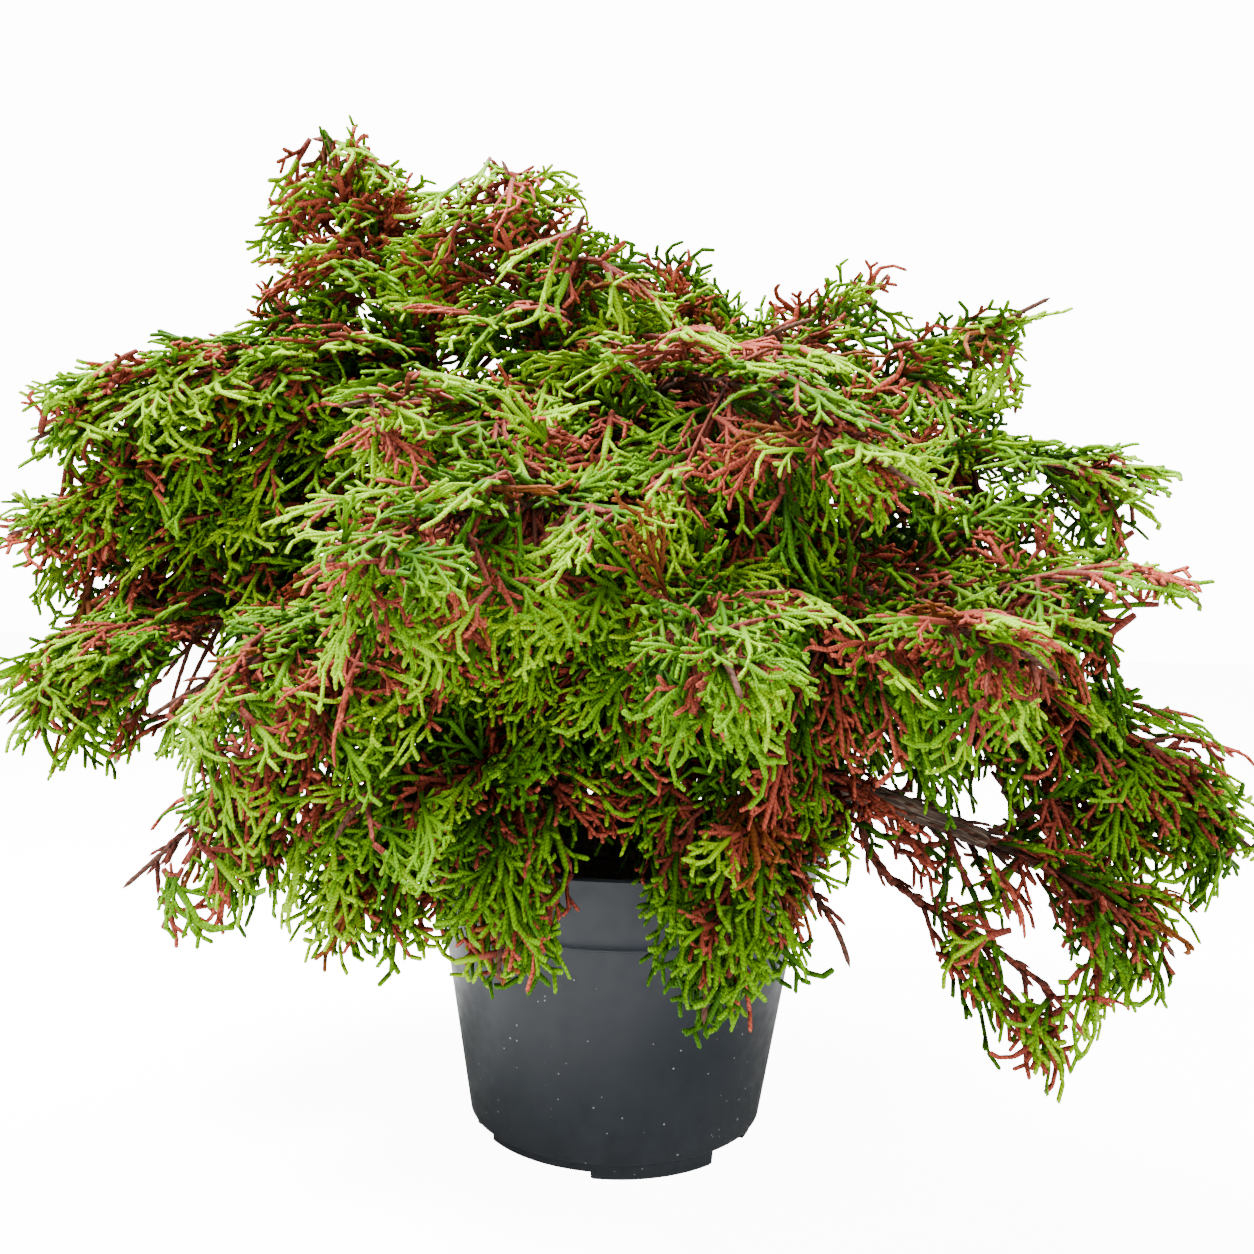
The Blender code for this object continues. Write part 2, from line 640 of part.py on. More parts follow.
def spray_outline(length, pairs):
    """One flat spray: (forward, across, half thickness) from root round to root."""
    thin = SPRAY_TIP_HALF
    lean = math.radians(FINGER_LEAN)
    pitch = (1.0 - SPRAY_NECK - TIP_FINGER) * length / pairs
    right = [(0.0, TWIG_RADIUS, SPRAY_ROOT_HALF)]
    for pair in range(pairs):
        axil = SPRAY_NECK * length + pair * pitch
        reach = SIDE_FINGER * length * (1.0 - SIDE_FINGER_LOSS * pair)
        start = axil + FINGER_START * pitch
        right.append((axil, TWIG_RADIUS + pair * thin, 0.5 * (SPRAY_ROOT_HALF + thin)))
        right.append((start + reach * math.cos(lean), reach * math.sin(lean), thin))
    right.append(((1.0 - TIP_FINGER) * length, TWIG_RADIUS + pairs * thin, thin))
    left = [(forward, -across, half) for forward, across, half in right]
    return left + [(length, 0.0, thin)] + right[::-1]


def spray_shape(root, along, normal, length, pairs):
    """A twig that branches into a flat toothed spray and droops to its tips."""
    side = normal.cross(along).normalized()
    outline = spray_outline(length, pairs)
    vertices = []
    for sign in (1.0, -1.0):
        for forward, across, half in outline:
            far = math.hypot(forward, across) / length
            fall = DOWN * (SPRAY_DROOP * length * far * far)
            flat = root + along * forward + side * across
            vertices.append(flat + normal * (sign * half) + fall)
    count = len(outline)
    last = count - 1
    upper = [(count // 2 - 1, count // 2, count // 2 + 1)]
    for pair in range(pairs):
        axil = 2 * pair + 1
        upper += [(axil, axil + 1, axil + 2), (last - axil - 2, last - axil - 1, last - axil)]
        upper += [(axil, axil + 2, last - axil), (axil + 2, last - axil - 2, last - axil)]
    upper += [(0, 1, last - 1), (0, last - 1, last)]
    faces = upper + [tuple(count + corner for corner in reversed(face)) for face in upper]
    for corner in range(count):
        after = (corner + 1) % count
        faces.append((corner, count + corner, count + after))
        faces.append((corner, count + after, after))
    return vertices, faces


def spray_places(vertices):
    """Sample places over a spray: its corners and places between them."""
    corners = np.array([tuple(corner) for corner in vertices])
    count = len(corners) // 2
    root = 0.5 * (corners[0] + corners[count - 1])
    blade = corners[1:count - 1]
    between = [root + (blade - root) * share for share in SPRAY_SAMPLE_SHARES]
    return np.concatenate([blade, corners[count + 1:-1]] + between)


def square_to(along, wanted):
    """The direction nearest to the wanted one that is square to a limb."""
    return (wanted - along * wanted.dot(along)).normalized()


def fitted_spray(root, along, normal, length, pairs, own, stems, limbs):
    """The largest spray that has room, as an object, or none."""
    for scale in SPRAY_SCALES:
        vertices, faces = spray_shape(root, along, normal, length * scale, pairs)
        if has_room(spray_places(vertices), own, stems, limbs):
            return new_object("spray", vertices, faces)
    return None


def build_mass(row, stems, limbs, chance, material):
    """One foliage mass: its stem and sprays joined into one body."""
    name = row[0]
    width = row[6] * MM
    stem = stems[name]
    item = tube(stem, name, material)
    pieces = []
    for share, around, reach, pairs in SPRAY_PLAN:
        centre, ahead = stem.at(share)
        swing = math.radians(around + chance.uniform(-SPRAY_JITTER, SPRAY_JITTER))
        away = Matrix.Rotation(swing, 3, ahead) @ square_to(ahead, UP)
        lean = math.radians(SPRAY_LEAN + chance.uniform(-SPRAY_JITTER, SPRAY_JITTER))
        along = ahead * math.cos(lean) + away * math.sin(lean) + DOWN * SPRAY_HANG
        along.normalize()
        spread = chance.uniform(-SPRAY_LENGTH_SPREAD, SPRAY_LENGTH_SPREAD)
        length = width * reach * (1.0 + spread)
        outward = (centre - CROWN_CENTRE).normalized()
        normal = square_to(along, outward + away * FACE_SIDEWAYS + UP * FACE_UP)
        pieces.append(fitted_spray(centre, along, normal, length, pairs, name, stems, limbs))
    root = stem.at(TIP_SPRAY_START)[0]
    along = stem.points[-1] - root
    length = along.length
    along.normalize()
    normal = square_to(along, (root - CROWN_CENTRE).normalized() + UP * FACE_UP)
    pieces.append(fitted_spray(root, along, normal, length, TIP_SPRAY_PAIRS,
                               name, stems, limbs))
    combine(item, [piece for piece in pieces if piece is not None], "UNION")
    keep_largest_body(item)


def main():
    """Build every sub-part."""
    empty_scene()
    build_pot()
    build_potting_mix()
    chance = random.Random(SEED)
    limbs = {"trunk": trunk_limb()}
    build_trunk(limbs["trunk"], finish("trunk_bark", BARK_COLOUR, 0.9))
    for name, carrier, share, azimuth, reach, height in BOUGHS:
        limbs[name] = bough_limb(limbs[carrier], share, azimuth, reach, height)
        bough = tube(limbs[name], name, finish(name + "_bark", BARK_COLOUR, 0.9))
        shade_round(bough, LIMB_SHADING)
    stems = {}
    for name, carrier, share, azimuth, reach, height, width, pitch in MASSES:
        stems[name] = stem_limb(limbs[carrier], share, azimuth, reach, height, pitch)
    for index, row in enumerate(MASSES):
        colour = FOLIAGE_COLOURS[index % len(FOLIAGE_COLOURS)]
        material = finish(row[0] + "_sprays", colour, 0.6)
        build_mass(row, stems, list(limbs.values()), chance, material)


main()
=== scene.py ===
"""A dwarf hinoki cypress in its round nursery pot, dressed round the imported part.

Metres, +Z up, the front at -Y. Azimuths are in degrees, 0 towards the front and
90 towards +X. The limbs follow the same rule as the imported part, and carry finer
twigs and flat sprays of cord-like branchlets.
"""

import math
import random

import bpy
import numpy as np
from mathutils import Matrix, Vector


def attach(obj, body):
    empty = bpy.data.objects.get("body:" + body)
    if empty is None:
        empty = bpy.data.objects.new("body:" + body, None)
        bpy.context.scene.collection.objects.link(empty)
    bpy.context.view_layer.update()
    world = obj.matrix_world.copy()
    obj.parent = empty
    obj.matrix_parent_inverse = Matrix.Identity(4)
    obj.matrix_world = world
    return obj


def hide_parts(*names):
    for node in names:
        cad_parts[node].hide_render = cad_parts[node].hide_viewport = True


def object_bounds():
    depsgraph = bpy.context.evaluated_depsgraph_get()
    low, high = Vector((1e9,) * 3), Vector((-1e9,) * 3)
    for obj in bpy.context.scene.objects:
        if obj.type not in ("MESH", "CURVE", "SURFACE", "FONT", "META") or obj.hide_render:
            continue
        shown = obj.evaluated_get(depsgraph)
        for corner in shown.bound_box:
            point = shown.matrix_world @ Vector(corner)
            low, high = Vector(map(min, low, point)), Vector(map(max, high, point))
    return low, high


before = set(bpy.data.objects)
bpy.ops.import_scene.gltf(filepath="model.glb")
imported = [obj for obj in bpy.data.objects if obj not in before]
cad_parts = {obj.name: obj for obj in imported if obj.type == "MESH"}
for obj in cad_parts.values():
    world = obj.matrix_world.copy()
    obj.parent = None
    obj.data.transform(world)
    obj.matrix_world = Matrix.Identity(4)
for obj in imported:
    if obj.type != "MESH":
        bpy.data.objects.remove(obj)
cad_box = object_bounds()

MM = 0.001
UP = Vector((0.0, 0.0, 1.0))
DOWN = -UP
# A full turn in radians, near enough for a random phase
FULL_TURN = 6.28

# Camera: focal length and image width in pixels, then place, tilt and roll
FOCAL_PIXELS = 1250.0
IMAGE_PIXELS = 1254.0
SENSOR_WIDTH = 36.0
CAMERA_PLACE = Vector((0.0, -0.589, 0.2574))
CAMERA_TILT = 0.039
CAMERA_ROLL = 0.026

# Studio: the floor, how bright it and the backdrop look, what light the
# surroundings give, then lights with place, aim, size and power
WHITE = (1.0, 1.0, 1.0, 1.0)
FLOOR_SIZE = 8.0
FLOOR_GAP = 0.2 * MM
FLOOR_GLOW = 12.0
WORLD_GLOW = 14.0
WORLD_LIGHT = 0.50
LIGHTS = (
    ("key_light", (-0.85, -0.32, 1.45), (0.0, 0.0, 0.25), 0.3, 84.0),
    ("fill_light", (1.1, -0.8, 1.0), (0.0, 0.0, 0.2), 0.8, 20.0),
    ("top_light", (0.1, 0.40, 1.55), (0.0, 0.0, 0.2), 0.7, 54.0),
)

# Pot
POT_STEPS = 96
POT_WALL = 2.0 * MM
POT_EDGE = 1.2 * MM
FOOT_RADIUS = 65.0 * MM
FOOT_HEIGHT = 8.0 * MM
BODY_FOOT_RADIUS = 68.3 * MM
SEAM_RADIUS = 84.0 * MM
SEAM_HEIGHT = 105.0 * MM
COLLAR_RADIUS = 91.0 * MM
COLLAR_FOOT = 109.6 * MM
INNER_COLLAR_FOOT = 110.8 * MM
COLLAR_HEIGHT = 114.0 * MM
RIM_RADIUS = 98.5 * MM
RIM_HEIGHT = 138.0 * MM
POT_FLOOR = 7.0 * MM
SMOOTH_ANGLE = 32.0
EAR_AZIMUTHS = (-80.0, 100.0)
EAR_COLUMNS = 28
EAR_ROWS = 6
EAR_HALF_SPAN = 29.0
EAR_RISE = 16.0 * MM
EAR_FLARE = 14.0 * MM
EAR_ROOT = 7.0 * MM
EAR_INSET = 3.4 * MM
EAR_END_RISE = 0.08
EAR_FLARE_CURVE = 1.15
EAR_SOFTENING = 0.5 * MM
# Notches in the foot: azimuths, width, how near the axis they reach, and height
FOOT_NOTCHES = (
    ((53.0, 173.0, 293.0), 25.0 * MM, 52.0 * MM, 7.5 * MM),
    ((87.5, 207.5, 327.5), 53.0 * MM, 44.0 * MM, 3.6 * MM),
)
NOTCH_OUTWARD = 6.0 * MM
NOTCH_BELOW = 2.0 * MM
MIX_TOP = 127.0 * MM
# Room that foliage leaves free: round the wall and rim, beside the ears, inside
# the rim and over the mix
POT_ROOM = 1.0 * MM
EAR_SIDE_ROOM = 2.0
INNER_RIM_ROOM = 9.0 * MM
MIX_ROOM = 2.0 * MM

# Trunk and boughs
TRUNK_FOOT = Vector((5.0, -3.0, 127.3)) * MM
TRUNK_TOP = Vector((-20.0, 8.0, 312.0)) * MM
TRUNK_BULGE = Vector((10.0, -6.0, 0.0)) * MM
TRUNK_RADIUS = 11.5 * MM
TRUNK_TOP_RADIUS = 6.4 * MM
FLARE_EXTRA = 6.5 * MM
FLARE_REACH = 0.10
BOUGH_END_RADIUS = 2.5 * MM
BOUGH_TAPER = 0.019
LEVEL_RUN_SHARE = 0.5
LEVEL_END_DROP = Vector((0.0, 0.0, -0.18))
STEEP_END_LIFT = Vector((0.0, 0.0, 0.25))
FORK_LIFT = Vector((0.0, 0.0, 0.35))
BEND_GRIP = 0.36
LIMB_STEPS = 30
# How deep a limb starts in its carrier, in radii of that carrier
FORK_DEPTH = 1.6
SEAT_DEPTH = 0.6

# Skins of the limbs: sides, ring pitch, how knobbly, and depth of the bark's relief
TRUNK_SKIN = (28, 2.2 * MM, 0.0, 0.085)
BOUGH_SKIN = (14, 2.4 * MM, 0.02, 0.10)
STEM_SKIN = (6, 3.0 * MM, 0.07, 0.0)
TWIG_SKIN = (3, 3.2 * MM, 0.10, 0.0)
SPUR_SKIN = (4, 2.4 * MM, 0.14, 0.0)
# Ridges of the bark: how many go round, how far they drift in a millimetre, size
BARK_RIDGES = ((5, 0.045, 0.45), (9, -0.07, 0.35), (3, 0.02, 0.4))
BARK_GROOVE = 0.55
BARK_GRAIN = 0.16

# Columns: name, carrier, share of the carrier's length where it leaves,
# then the far end as azimuth, reach and height in millimetres
BOUGHS = (
    ("bough_left_high", "trunk", 0.93, -97, 112, 350),
    ("bough_peak", "bough_left_high", 0.86, -103, 124, 384),
    ("bough_second_peak", "trunk", 0.985, -119, 58, 374),
    ("bough_ridge", "trunk", 1.00, 165, 36, 352),
    ("bough_right_crest", "trunk", 0.88, 105, 86, 336),
    ("bough_right_upper", "trunk", 0.74, 82, 100, 304),
    ("bough_right_mid", "trunk", 0.60, 58, 146, 252),
    ("bough_right_low", "trunk", 0.44, 80, 128, 222),
    ("bough_right_skirt", "trunk", 0.27, 63, 172, 152),
    ("bough_left_skirt", "trunk", 0.24, -60, 128, 188),
    ("bough_left_low", "trunk", 0.42, -84, 128, 236),
    ("bough_left_mid", "trunk", 0.62, -95, 118, 282),
    ("bough_front_left", "trunk", 0.54, -41, 96, 240),
    ("bough_front_high", "trunk", 0.72, -8, 84, 284),
    ("bough_front_low", "trunk", 0.38, -24, 88, 196),
    ("bough_front_right_low", "trunk", 0.32, 28, 92, 192),
    ("bough_crown_front", "trunk", 0.90, 10, 46, 334),
    ("bough_back_left_high", "trunk", 0.82, -140, 84, 330),
    ("bough_back_left_low", "trunk", 0.48, -142, 100, 232),
    ("bough_back_high", "trunk", 0.68, 163, 84, 318),
    ("bough_back_low", "trunk", 0.34, 178, 100, 206),
    ("bough_back_right", "trunk", 0.52, 133, 104, 262),
)

# The bough whose wood shows for most of its length
BARE_BOUGH = "bough_right_skirt"
# Old boughs whose bark stands thicker
STOUT_BOUGHS = {BARE_BOUGH: 1.45, "bough_right_mid": 1.25}

# Stems of the foliage masses
STEM_RADIUS = 2.1 * MM
STEM_TIP_RADIUS = 1.0 * MM
STEM_LEAST_RUN = 5.0 * MM

# Columns: name, carrier, share of the carrier's length, the tip as azimuth,
# reach and height, the width across the sprays in millimetres, how steeply the
# tip points, then the share of the sprays that have turned red
MASSES = (
    ("mass_left_high", "bough_left_high", 1.00, -81, 266, 310, 150, -30, 0.38),
    ("mass_left_high_back", "bough_left_high", 0.70, -100, 208, 374, 145, 0, 0.20),
    ("mass_peak", "bough_peak", 1.00, -102, 158, 474, 140, 70, 0.60),
    ("mass_second_peak", "bough_second_peak", 1.00, -121, 80, 464, 130, 55, 0.65),
    ("mass_ridge", "bough_ridge", 1.00, 158, 70, 420, 130, 45, 0.50),
    ("mass_ridge_right", "bough_ridge", 0.60, 88, 84, 380, 140, 10, 0.40),
    ("mass_crown_top", "bough_second_peak", 0.62, -20, 66, 408, 145, 10, 0.30),
    ("mass_right_crest", "bough_right_crest", 0.66, 120, 154, 422, 120, 50, 0.50),
    ("mass_right_shoulder", "bough_right_crest", 1.00, 88, 192, 392, 130, 25, 0.12),
    ("mass_right_upper", "bough_right_upper", 1.00, 84, 240, 300, 160, -25, 0.15),
    ("mass_right_mid", "bough_right_mid", 1.00, 69, 246, 252, 130, -45, 0.48),
    ("mass_right_front", "bough_right_mid", 0.66, 40, 226, 226, 140, -40, 0.48),
    ("mass_right_low", "bough_right_low", 1.00, 79, 282, 144, 150, -38, 0.45),
    ("mass_right_skirt", "bough_right_skirt", 1.00, 66, 242, 112, 115, -60, 0.45),
    ("mass_hanger", "bough_right_skirt", 0.66, 59, 212, 84, 80, -60, 0.50),
    ("mass_left_skirt", "bough_left_skirt", 1.00, -69, 220, 124, 130, -42, 0.60),
    ("mass_left_skirt_low", "bough_left_skirt", 0.80, -46, 156, 112, 120, -72, 0.45),
    ("mass_left_low", "bough_left_low", 1.00, -84, 280, 184, 140, -45, 0.25),
    ("mass_left_mid", "bough_left_mid", 1.00, -91, 296, 270, 150, -20, 0.30),
    ("mass_front_left", "bough_front_left", 1.00, -52, 220, 202, 150, -35, 0.45),
    ("mass_front_high", "bough_front_high", 1.00, -27, 222, 256, 150, -25, 0.28),
    ("mass_front_mid", "bough_front_high", 0.74, 9, 222, 222, 150, -40, 0.10),
    ("mass_front_low", "bough_front_low", 1.00, -17, 148, 110, 120, -75, 0.22),
    ("mass_front_skirt", "bough_front_low", 0.66, -36, 176, 160, 130, -60, 0.15),
    ("mass_front_right_low", "bough_front_right_low", 1.00, 12, 150, 98, 115, -78, 0.30),
    ("mass_front_right_skirt", "bough_front_right_low", 0.70, 28, 174, 122, 80, -65, 0.30),
    ("mass_crown_front_left", "bough_crown_front", 0.66, -42, 164, 318, 150, -20, 0.48),
    ("mass_crown_front_right", "bough_crown_front", 1.00, 36, 176, 292, 150, -30, 0.32),
    ("mass_back_left_high", "bough_back_left_high", 1.00, -142, 226, 330, 160, -15, 0.25),
    ("mass_back_left_low", "bough_back_left_low", 1.00, -130, 244, 200, 150, -40, 0.25),
    ("mass_back_left_skirt", "bough_back_left_low", 0.70, -158, 204, 140, 140, -60, 0.25),
    ("mass_back_high", "bough_back_high", 1.00, 166, 216, 322, 160, -15, 0.25),
    ("mass_back_low", "bough_back_low", 1.00, 178, 226, 134, 140, -55, 0.25),
    ("mass_back_right_high", "bough_back_right", 1.00, 122, 240, 270, 160, -25, 0.20),
    ("mass_back_right_low", "bough_back_right", 0.68, 142, 222, 156, 140, -55, 0.25),
)

# Branches along a stem, and sprays along a branch
BRANCH_PITCH = 7.5 * MM
ARM_PITCH = 5.4 * MM
ARM_REACH = 195.0 * MM
PEAK_HEIGHT = 415.0 * MM
BRANCH_FIRST = 0.03
BRANCH_LAST = 0.90
BRANCH_REACH = 0.40
BRANCH_SPREAD = (0.75, 1.2)
# Branches get shorter from this share of the stem on, and by how much
BRANCH_FALL = 0.2
BRANCH_SHORTENING = 0.66
BRANCH_DROOP = 0.10
BRANCH_RADIUS = 1.5 * MM
BRANCH_TIP_RADIUS = 1.0 * MM
SHORTEST_BRANCH = 9.0 * MM
LEAST_TIP_DEPTH = 4.0 * MM
TIP_CUT = 12.0 * MM
TWIG_STEPS = 8
# Where branches leave a stem: turn round it from straight up, lean off its
# direction, share of the full length, and how much they hang
BRANCH_RING = (
    (84.0, 62.0, 1.0, 0.05),
    (-66.0, 58.0, 0.90, 0.0),
    (18.0, 44.0, 0.45, 0.0),
    (-108.0, 60.0, 0.90, 0.20),
    (58.0, 54.0, 0.80, 0.0),
    (170.0, 60.0, 0.75, 0.25),
    (-30.0, 48.0, 0.50, 0.0),
    (116.0, 60.0, 0.85, 0.20),
    (-86.0, 62.0, 1.0, 0.05),
    (38.0, 44.0, 0.55, 0.0),
    (-140.0, 60.0, 0.80, 0.30),
    (-48.0, 50.0, 0.70, 0.0),
    (140.0, 56.0, 0.80, 0.30),
)
SPRAY_SPACING = 8.5 * MM
SPRAY_FIRST = 0.14
SPRAY_SPAN = 0.80
# Sizes of spray dealt out along a branch and along a stem's top, 0 the longest
BRANCH_SIZES = (0, 1, 1, 2)
SHINGLE_SIZES = (1, 2)
SPRAY_LEAN = (34.0, 64.0)
# How much sprays and twigs hang: everywhere, low in the crown, and out on the arms
SPRAY_HANG = 0.06
LOW_HANG = 0.75
LOW_HANG_TOP = 225.0 * MM
LOW_HANG_SPAN = 130.0 * MM
ARM_SPAN = 220.0 * MM
ARM_HANG = 0.22
RISING_HANG_CUT = 0.8
RISING_DROOP_CUT = 0.7
# Sprays along the top of a stem
SHINGLE_PITCH = 8.0 * MM
SHINGLE_TURNS = (38.0, -38.0, 0.0, 62.0, -62.0)
SHINGLE_LEAN = 0.6
TIP_SPRAY_SHARE = 0.9
GROWTH_JITTER = 14.0
# A spray that finds no room turns inward by this much and is tried again, smaller
TURN_INWARD = 0.55
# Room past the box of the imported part, and past the tips of arms and peaks
EDGE_ROOM = 4.0 * MM
TIP_ROOM = 5.0 * MM
PEAK_TIP_ROOM = 2.0 * MM
# How much a mass narrows to its tip, for arms and for peaks, and how wide it starts
ARM_POINT = 0.35
PEAK_POINT = 0.68
ROOT_WIDTH = 0.55
ROOT_WIDENING = 2.5
# A stem that points up by more degrees than this carries a peak
STEEP = 40.0
# Deeper in the crown than this, shoots carry coarser sprays
INNER_DEPTH = 50.0 * MM
# How much flatter the room is above a limb, and more so further out, and below it
RISE_WEIGHT = 2.0
RISE_REACH = 60.0 * MM
FALL_WEIGHT = 0.9
SPACE_STEPS = 12
# Room along the boughs: where it starts, and its radius
BOUGH_ROOM = (0.30, 60.0 * MM)
BARE_BOUGH_ROOM = (0.60, 48.0 * MM)
# Sprays face out from the middle of the crown, to their own side and up
CROWN_CENTRE = Vector((-10.0, 0.0, 220.0)) * MM
FACE_SIDEWAYS = 0.35
FACE_ARMS = 0.75
FACE_UP = 0.18
FACE_JITTER = 0.45
# Short leafy shoots: turns round the limb from straight up, the second row for
# the wood that is seen from below
SHOOT_TURNS = (-70.0, 55.0, 150.0, -5.0, 100.0, -120.0, 30.0, -170.0, -40.0, 80.0)
HANGING_TURNS = (120.0, -150.0, 175.0, -110.0, 95.0, -75.0)
SHOOT_JITTER = 15.0
SHOOT_AHEAD = 0.6
SHOOT_REDNESS_SHARE = 0.2
SHOOT_PITCH = 12.0 * MM
SHOOT_LENGTHS = (30.0 * MM, 62.0 * MM)
# Where shoots start along a limb, and the share that has turned red
BOUGH_SHOOTS = (0.12, 0.35)
TRUNK_SHOOTS = (0.40, 0.3)
STEM_SHOOTS = (0.0, 0.4)
BARE_BOUGH_SHOOTS = (0.50, 0.45)
# Sky seen through the crown from the camera: middle to the right of the pot's
# axis, height and radius in millimetres, on the upright plane through that axis
SKY_GAPS = (
    (126.0, 112.0, 17.0),
    (112.0, 96.0, 10.0),
    (172.0, 152.0, 9.0),
    (-205.0, 210.0, 9.0),
    (-9.0, 98.0, 15.0),
    (200.0, 78.0, 16.0),
    (243.0, 230.0, 13.0),
    (-215.0, 126.0, 12.0),
)
# How much of a stem stays bare
BARE_SHARES = {"mass_hanger": 0.45}
# Masses with nothing close behind them, filled by more shoots
FILLED_STEMS = ("mass_peak", "mass_second_peak", "mass_left_high", "mass_left_mid",
                "mass_left_low", "mass_right_low")
# Tufts that spread wider than the tip of their stem: azimuth, reach, height and
# radius in millimetres
TUFTS = (
    (59.0, 197.0, 88.0, 28.0),
    (115.0, 144.0, 391.0, 30.0),
    (56.0, 165.0, 186.0, 40.0),
    (-100.0, 86.0, 352.0, 46.0),
)
# Sprays have their full size at the back and shrink towards the front
BACK_SCALE = 1.06
FRONT_SHRINK = 0.26
FRONT_REACH = 200.0 * MM
RUST_SHARE = 0.022
SEED = 20

# Leafy materials: name, the colours near the wood, at the tips and between the
# scale leaves, the pitch of those leaves in millimetres, and roughness
LEAFY_TONES = {
    # lime, green and deep are one green as painted light, half light and painted shade, dealt out
    # by kind_at
    "lime": ("lit_lime_sprays", (0.060, 0.19, 0.0), (0.36, 0.63, 0.0), (0.02, 0.07, 0.0), 1.5, 0.5),
    "green": ("green_sprays", (0.022, 0.085, 0.0), (0.160, 0.37, 0.0), (0.008, 0.032, 0.0),
              1.5, 0.5),
    "deep": ("shaded_deep_green_sprays", (0.010, 0.040, 0.001), (0.055, 0.17, 0.001),
             (0.004, 0.014, 0.001), 1.5, 0.5),
    "red": ("red_sprays", (0.18, 0.034, 0.022), (0.48, 0.088, 0.050), (0.035, 0.006, 0.004),
            1.9, 0.5),
    "rust": ("rust_sprays", (0.10, 0.028, 0.008), (0.27, 0.080, 0.016), (0.06, 0.018, 0.008),
             1.9, 0.6),
    "twigs": ("red_brown_twigs", (0.10, 0.032, 0.022), (0.30, 0.068, 0.044),
              (0.020, 0.007, 0.005), 2.6, 0.55),
    "stems": ("brown_stems", (0.050, 0.029, 0.022), (0.12, 0.052, 0.036), (0.014, 0.007, 0.005),
              3.4, 0.6),
}
LEAF_SPECULAR = 0.07
# How much the slow drift adds to the age, and where the colour changes
LEAF_DRIFT = 0.9
LEAF_CHANGE = (0.65, 1.35)
JOINT_SHADE = 0.75
# Scale leaves: how far their rows are staggered, how they bulge, and the share
# of each that lies in the shade of the one before
SCALE_STAGGER = 0.62
SCALE_BULGE = 0.7
SCALE_JOINT = 0.45

# Bumps: strength and height
LEAF_BUMPS = (0.8, 0.35 * MM)
BARK_BUMPS = (1.0, 0.9 * MM)
PLASTIC_BUMPS = (0.25, 0.3 * MM)
MIX_BUMPS = (1.0, 2.0 * MM)

# Bark: how its pattern is stretched round and along, and its tones from groove
# to peeling strip, each with its place in the pattern
BARK_STRETCH = (9.0, 0.035, 1.0)
BARK_TONES = (
    (0.38, (0.030, 0.018, 0.013)),
    (0.54, (0.10, 0.062, 0.042)),
    (0.72, (0.30, 0.225, 0.17)),
)

# Plastic: its tones, the specks from foot to rim and the dust near the foot, both partly painted
# light on the shaded foot
PLASTIC_TONES = ((0.0048, 0.0080, 0.0130), (0.0072, 0.0108, 0.0162))
PLASTIC_ROUGHNESS = (0.36, 0.52)
PLASTIC_SPECULAR = 0.36
SPECK_SCALE = 330.0
SPECK_AND_FOOT_LIGHT_SIZES = (0.21, 0.10)
SPECK_TONE = (0.30, 0.30, 0.29)
DUST_AND_FOOT_LIGHT_TONE = (0.060, 0.068, 0.080)
DUST_AND_FOOT_LIGHT_HEIGHT = 55.0 * MM
DUST_AND_FOOT_LIGHT_SHARE = 0.60
MIX_TONES = ((0.016, 0.010, 0.007), (0.105, 0.066, 0.040))

# Short old shoots along the limbs
SPUR_PITCH = 3.4 * MM
SPUR_TURN = 2.4
SPUR_LAYERS = 2
SPUR_STEPS = 4
SPUR_RADIUS = 1.1 * MM
SPUR_TIP_RADIUS = 0.77 * MM
SPUR_SEAT = 0.55
SPUR_BEND = 0.4
SPUR_LEANS = (12.0, 34.0)
SPUR_SPREAD = (0.6, 1.3)
BOUGH_SPUR_LENGTH = 13.0 * MM
BOUGH_SPUR_FIRST = 0.25
STEM_SPUR_LENGTH = 9.0 * MM
STEM_SPUR_LAST = 0.85

# Flat sprays, each an axis with side cords that carry short lobes
AXIS_HALF_WIDTH = 1.50 * MM
CORD_HALF_WIDTH = 1.42 * MM
LOBE_HALF_WIDTH = 1.36 * MM
INNER_CORD_WIDENING = 1.25
CORD_FLATNESS = 0.80
CORD_SWELLING = 1.12
CORD_ROOT_WIDTH = 0.85
CORD_TIP_WIDTH = 0.80
CORD_TIP_ROOM = 0.25
RING_PITCH = 5.6 * MM
AXIS_WANDER = 0.22
# Side cords start and end along the axis at these shares; they are longest
# between SIDE_FULL and SIDE_FALL and shorter towards both ends
SIDE_PITCH = 5.2 * MM
SIDE_FIRST = 0.08
SIDE_SPAN = 0.84
SIDE_FULL = 0.22
SIDE_FALL = 0.3
SIDE_SHORTENING = 0.66
SIDE_REACH = 0.54
SIDE_REACH_SPREAD = (0.80, 1.18)
SIDE_SHORTEST = 7.0 * MM
SIDE_LEAN = 42.0
SIDE_LEAN_SPREAD = (0.84, 1.16)
SIDE_CLOSING = 0.2
SIDE_CURL = -0.45
SIDE_SLOPE = 0.18
LOBE_PITCH = 3.4 * MM
LOBE_PITCH_SPREAD = (0.92, 1.08)
LOBE_START = 3.6 * MM
LOBE_END_ROOM = 1.0 * MM
LOBE_LAST = 0.92
LOBE_LENGTH = 6.9 * MM
LOBE_FIRST_SIZE = 1.15
LOBE_SHORTENING = 0.5
LOBE_LENGTH_SPREAD = (0.75, 1.2)
LOBE_LEAN = 35.0
LOBE_LEAN_SPREAD = (0.85, 1.25)
LOBE_CURL = -0.5
LOBE_SLOPE = 0.30
LOBE_OUTNESS = 0.7
SPRAY_LENGTHS = (42.0 * MM, 34.0 * MM, 26.0 * MM)
INNER_LENGTH = 44.0 * MM
SPRAY_VARIANTS = 6
# The age attribute is 0 at a spray's root and at most this at its edge
YOUNGEST = 1.3
# How far out the red reaches along a spray, from a red root to all red
RED_LEVELS = (0.14, 0.36, 0.60, 2.0)
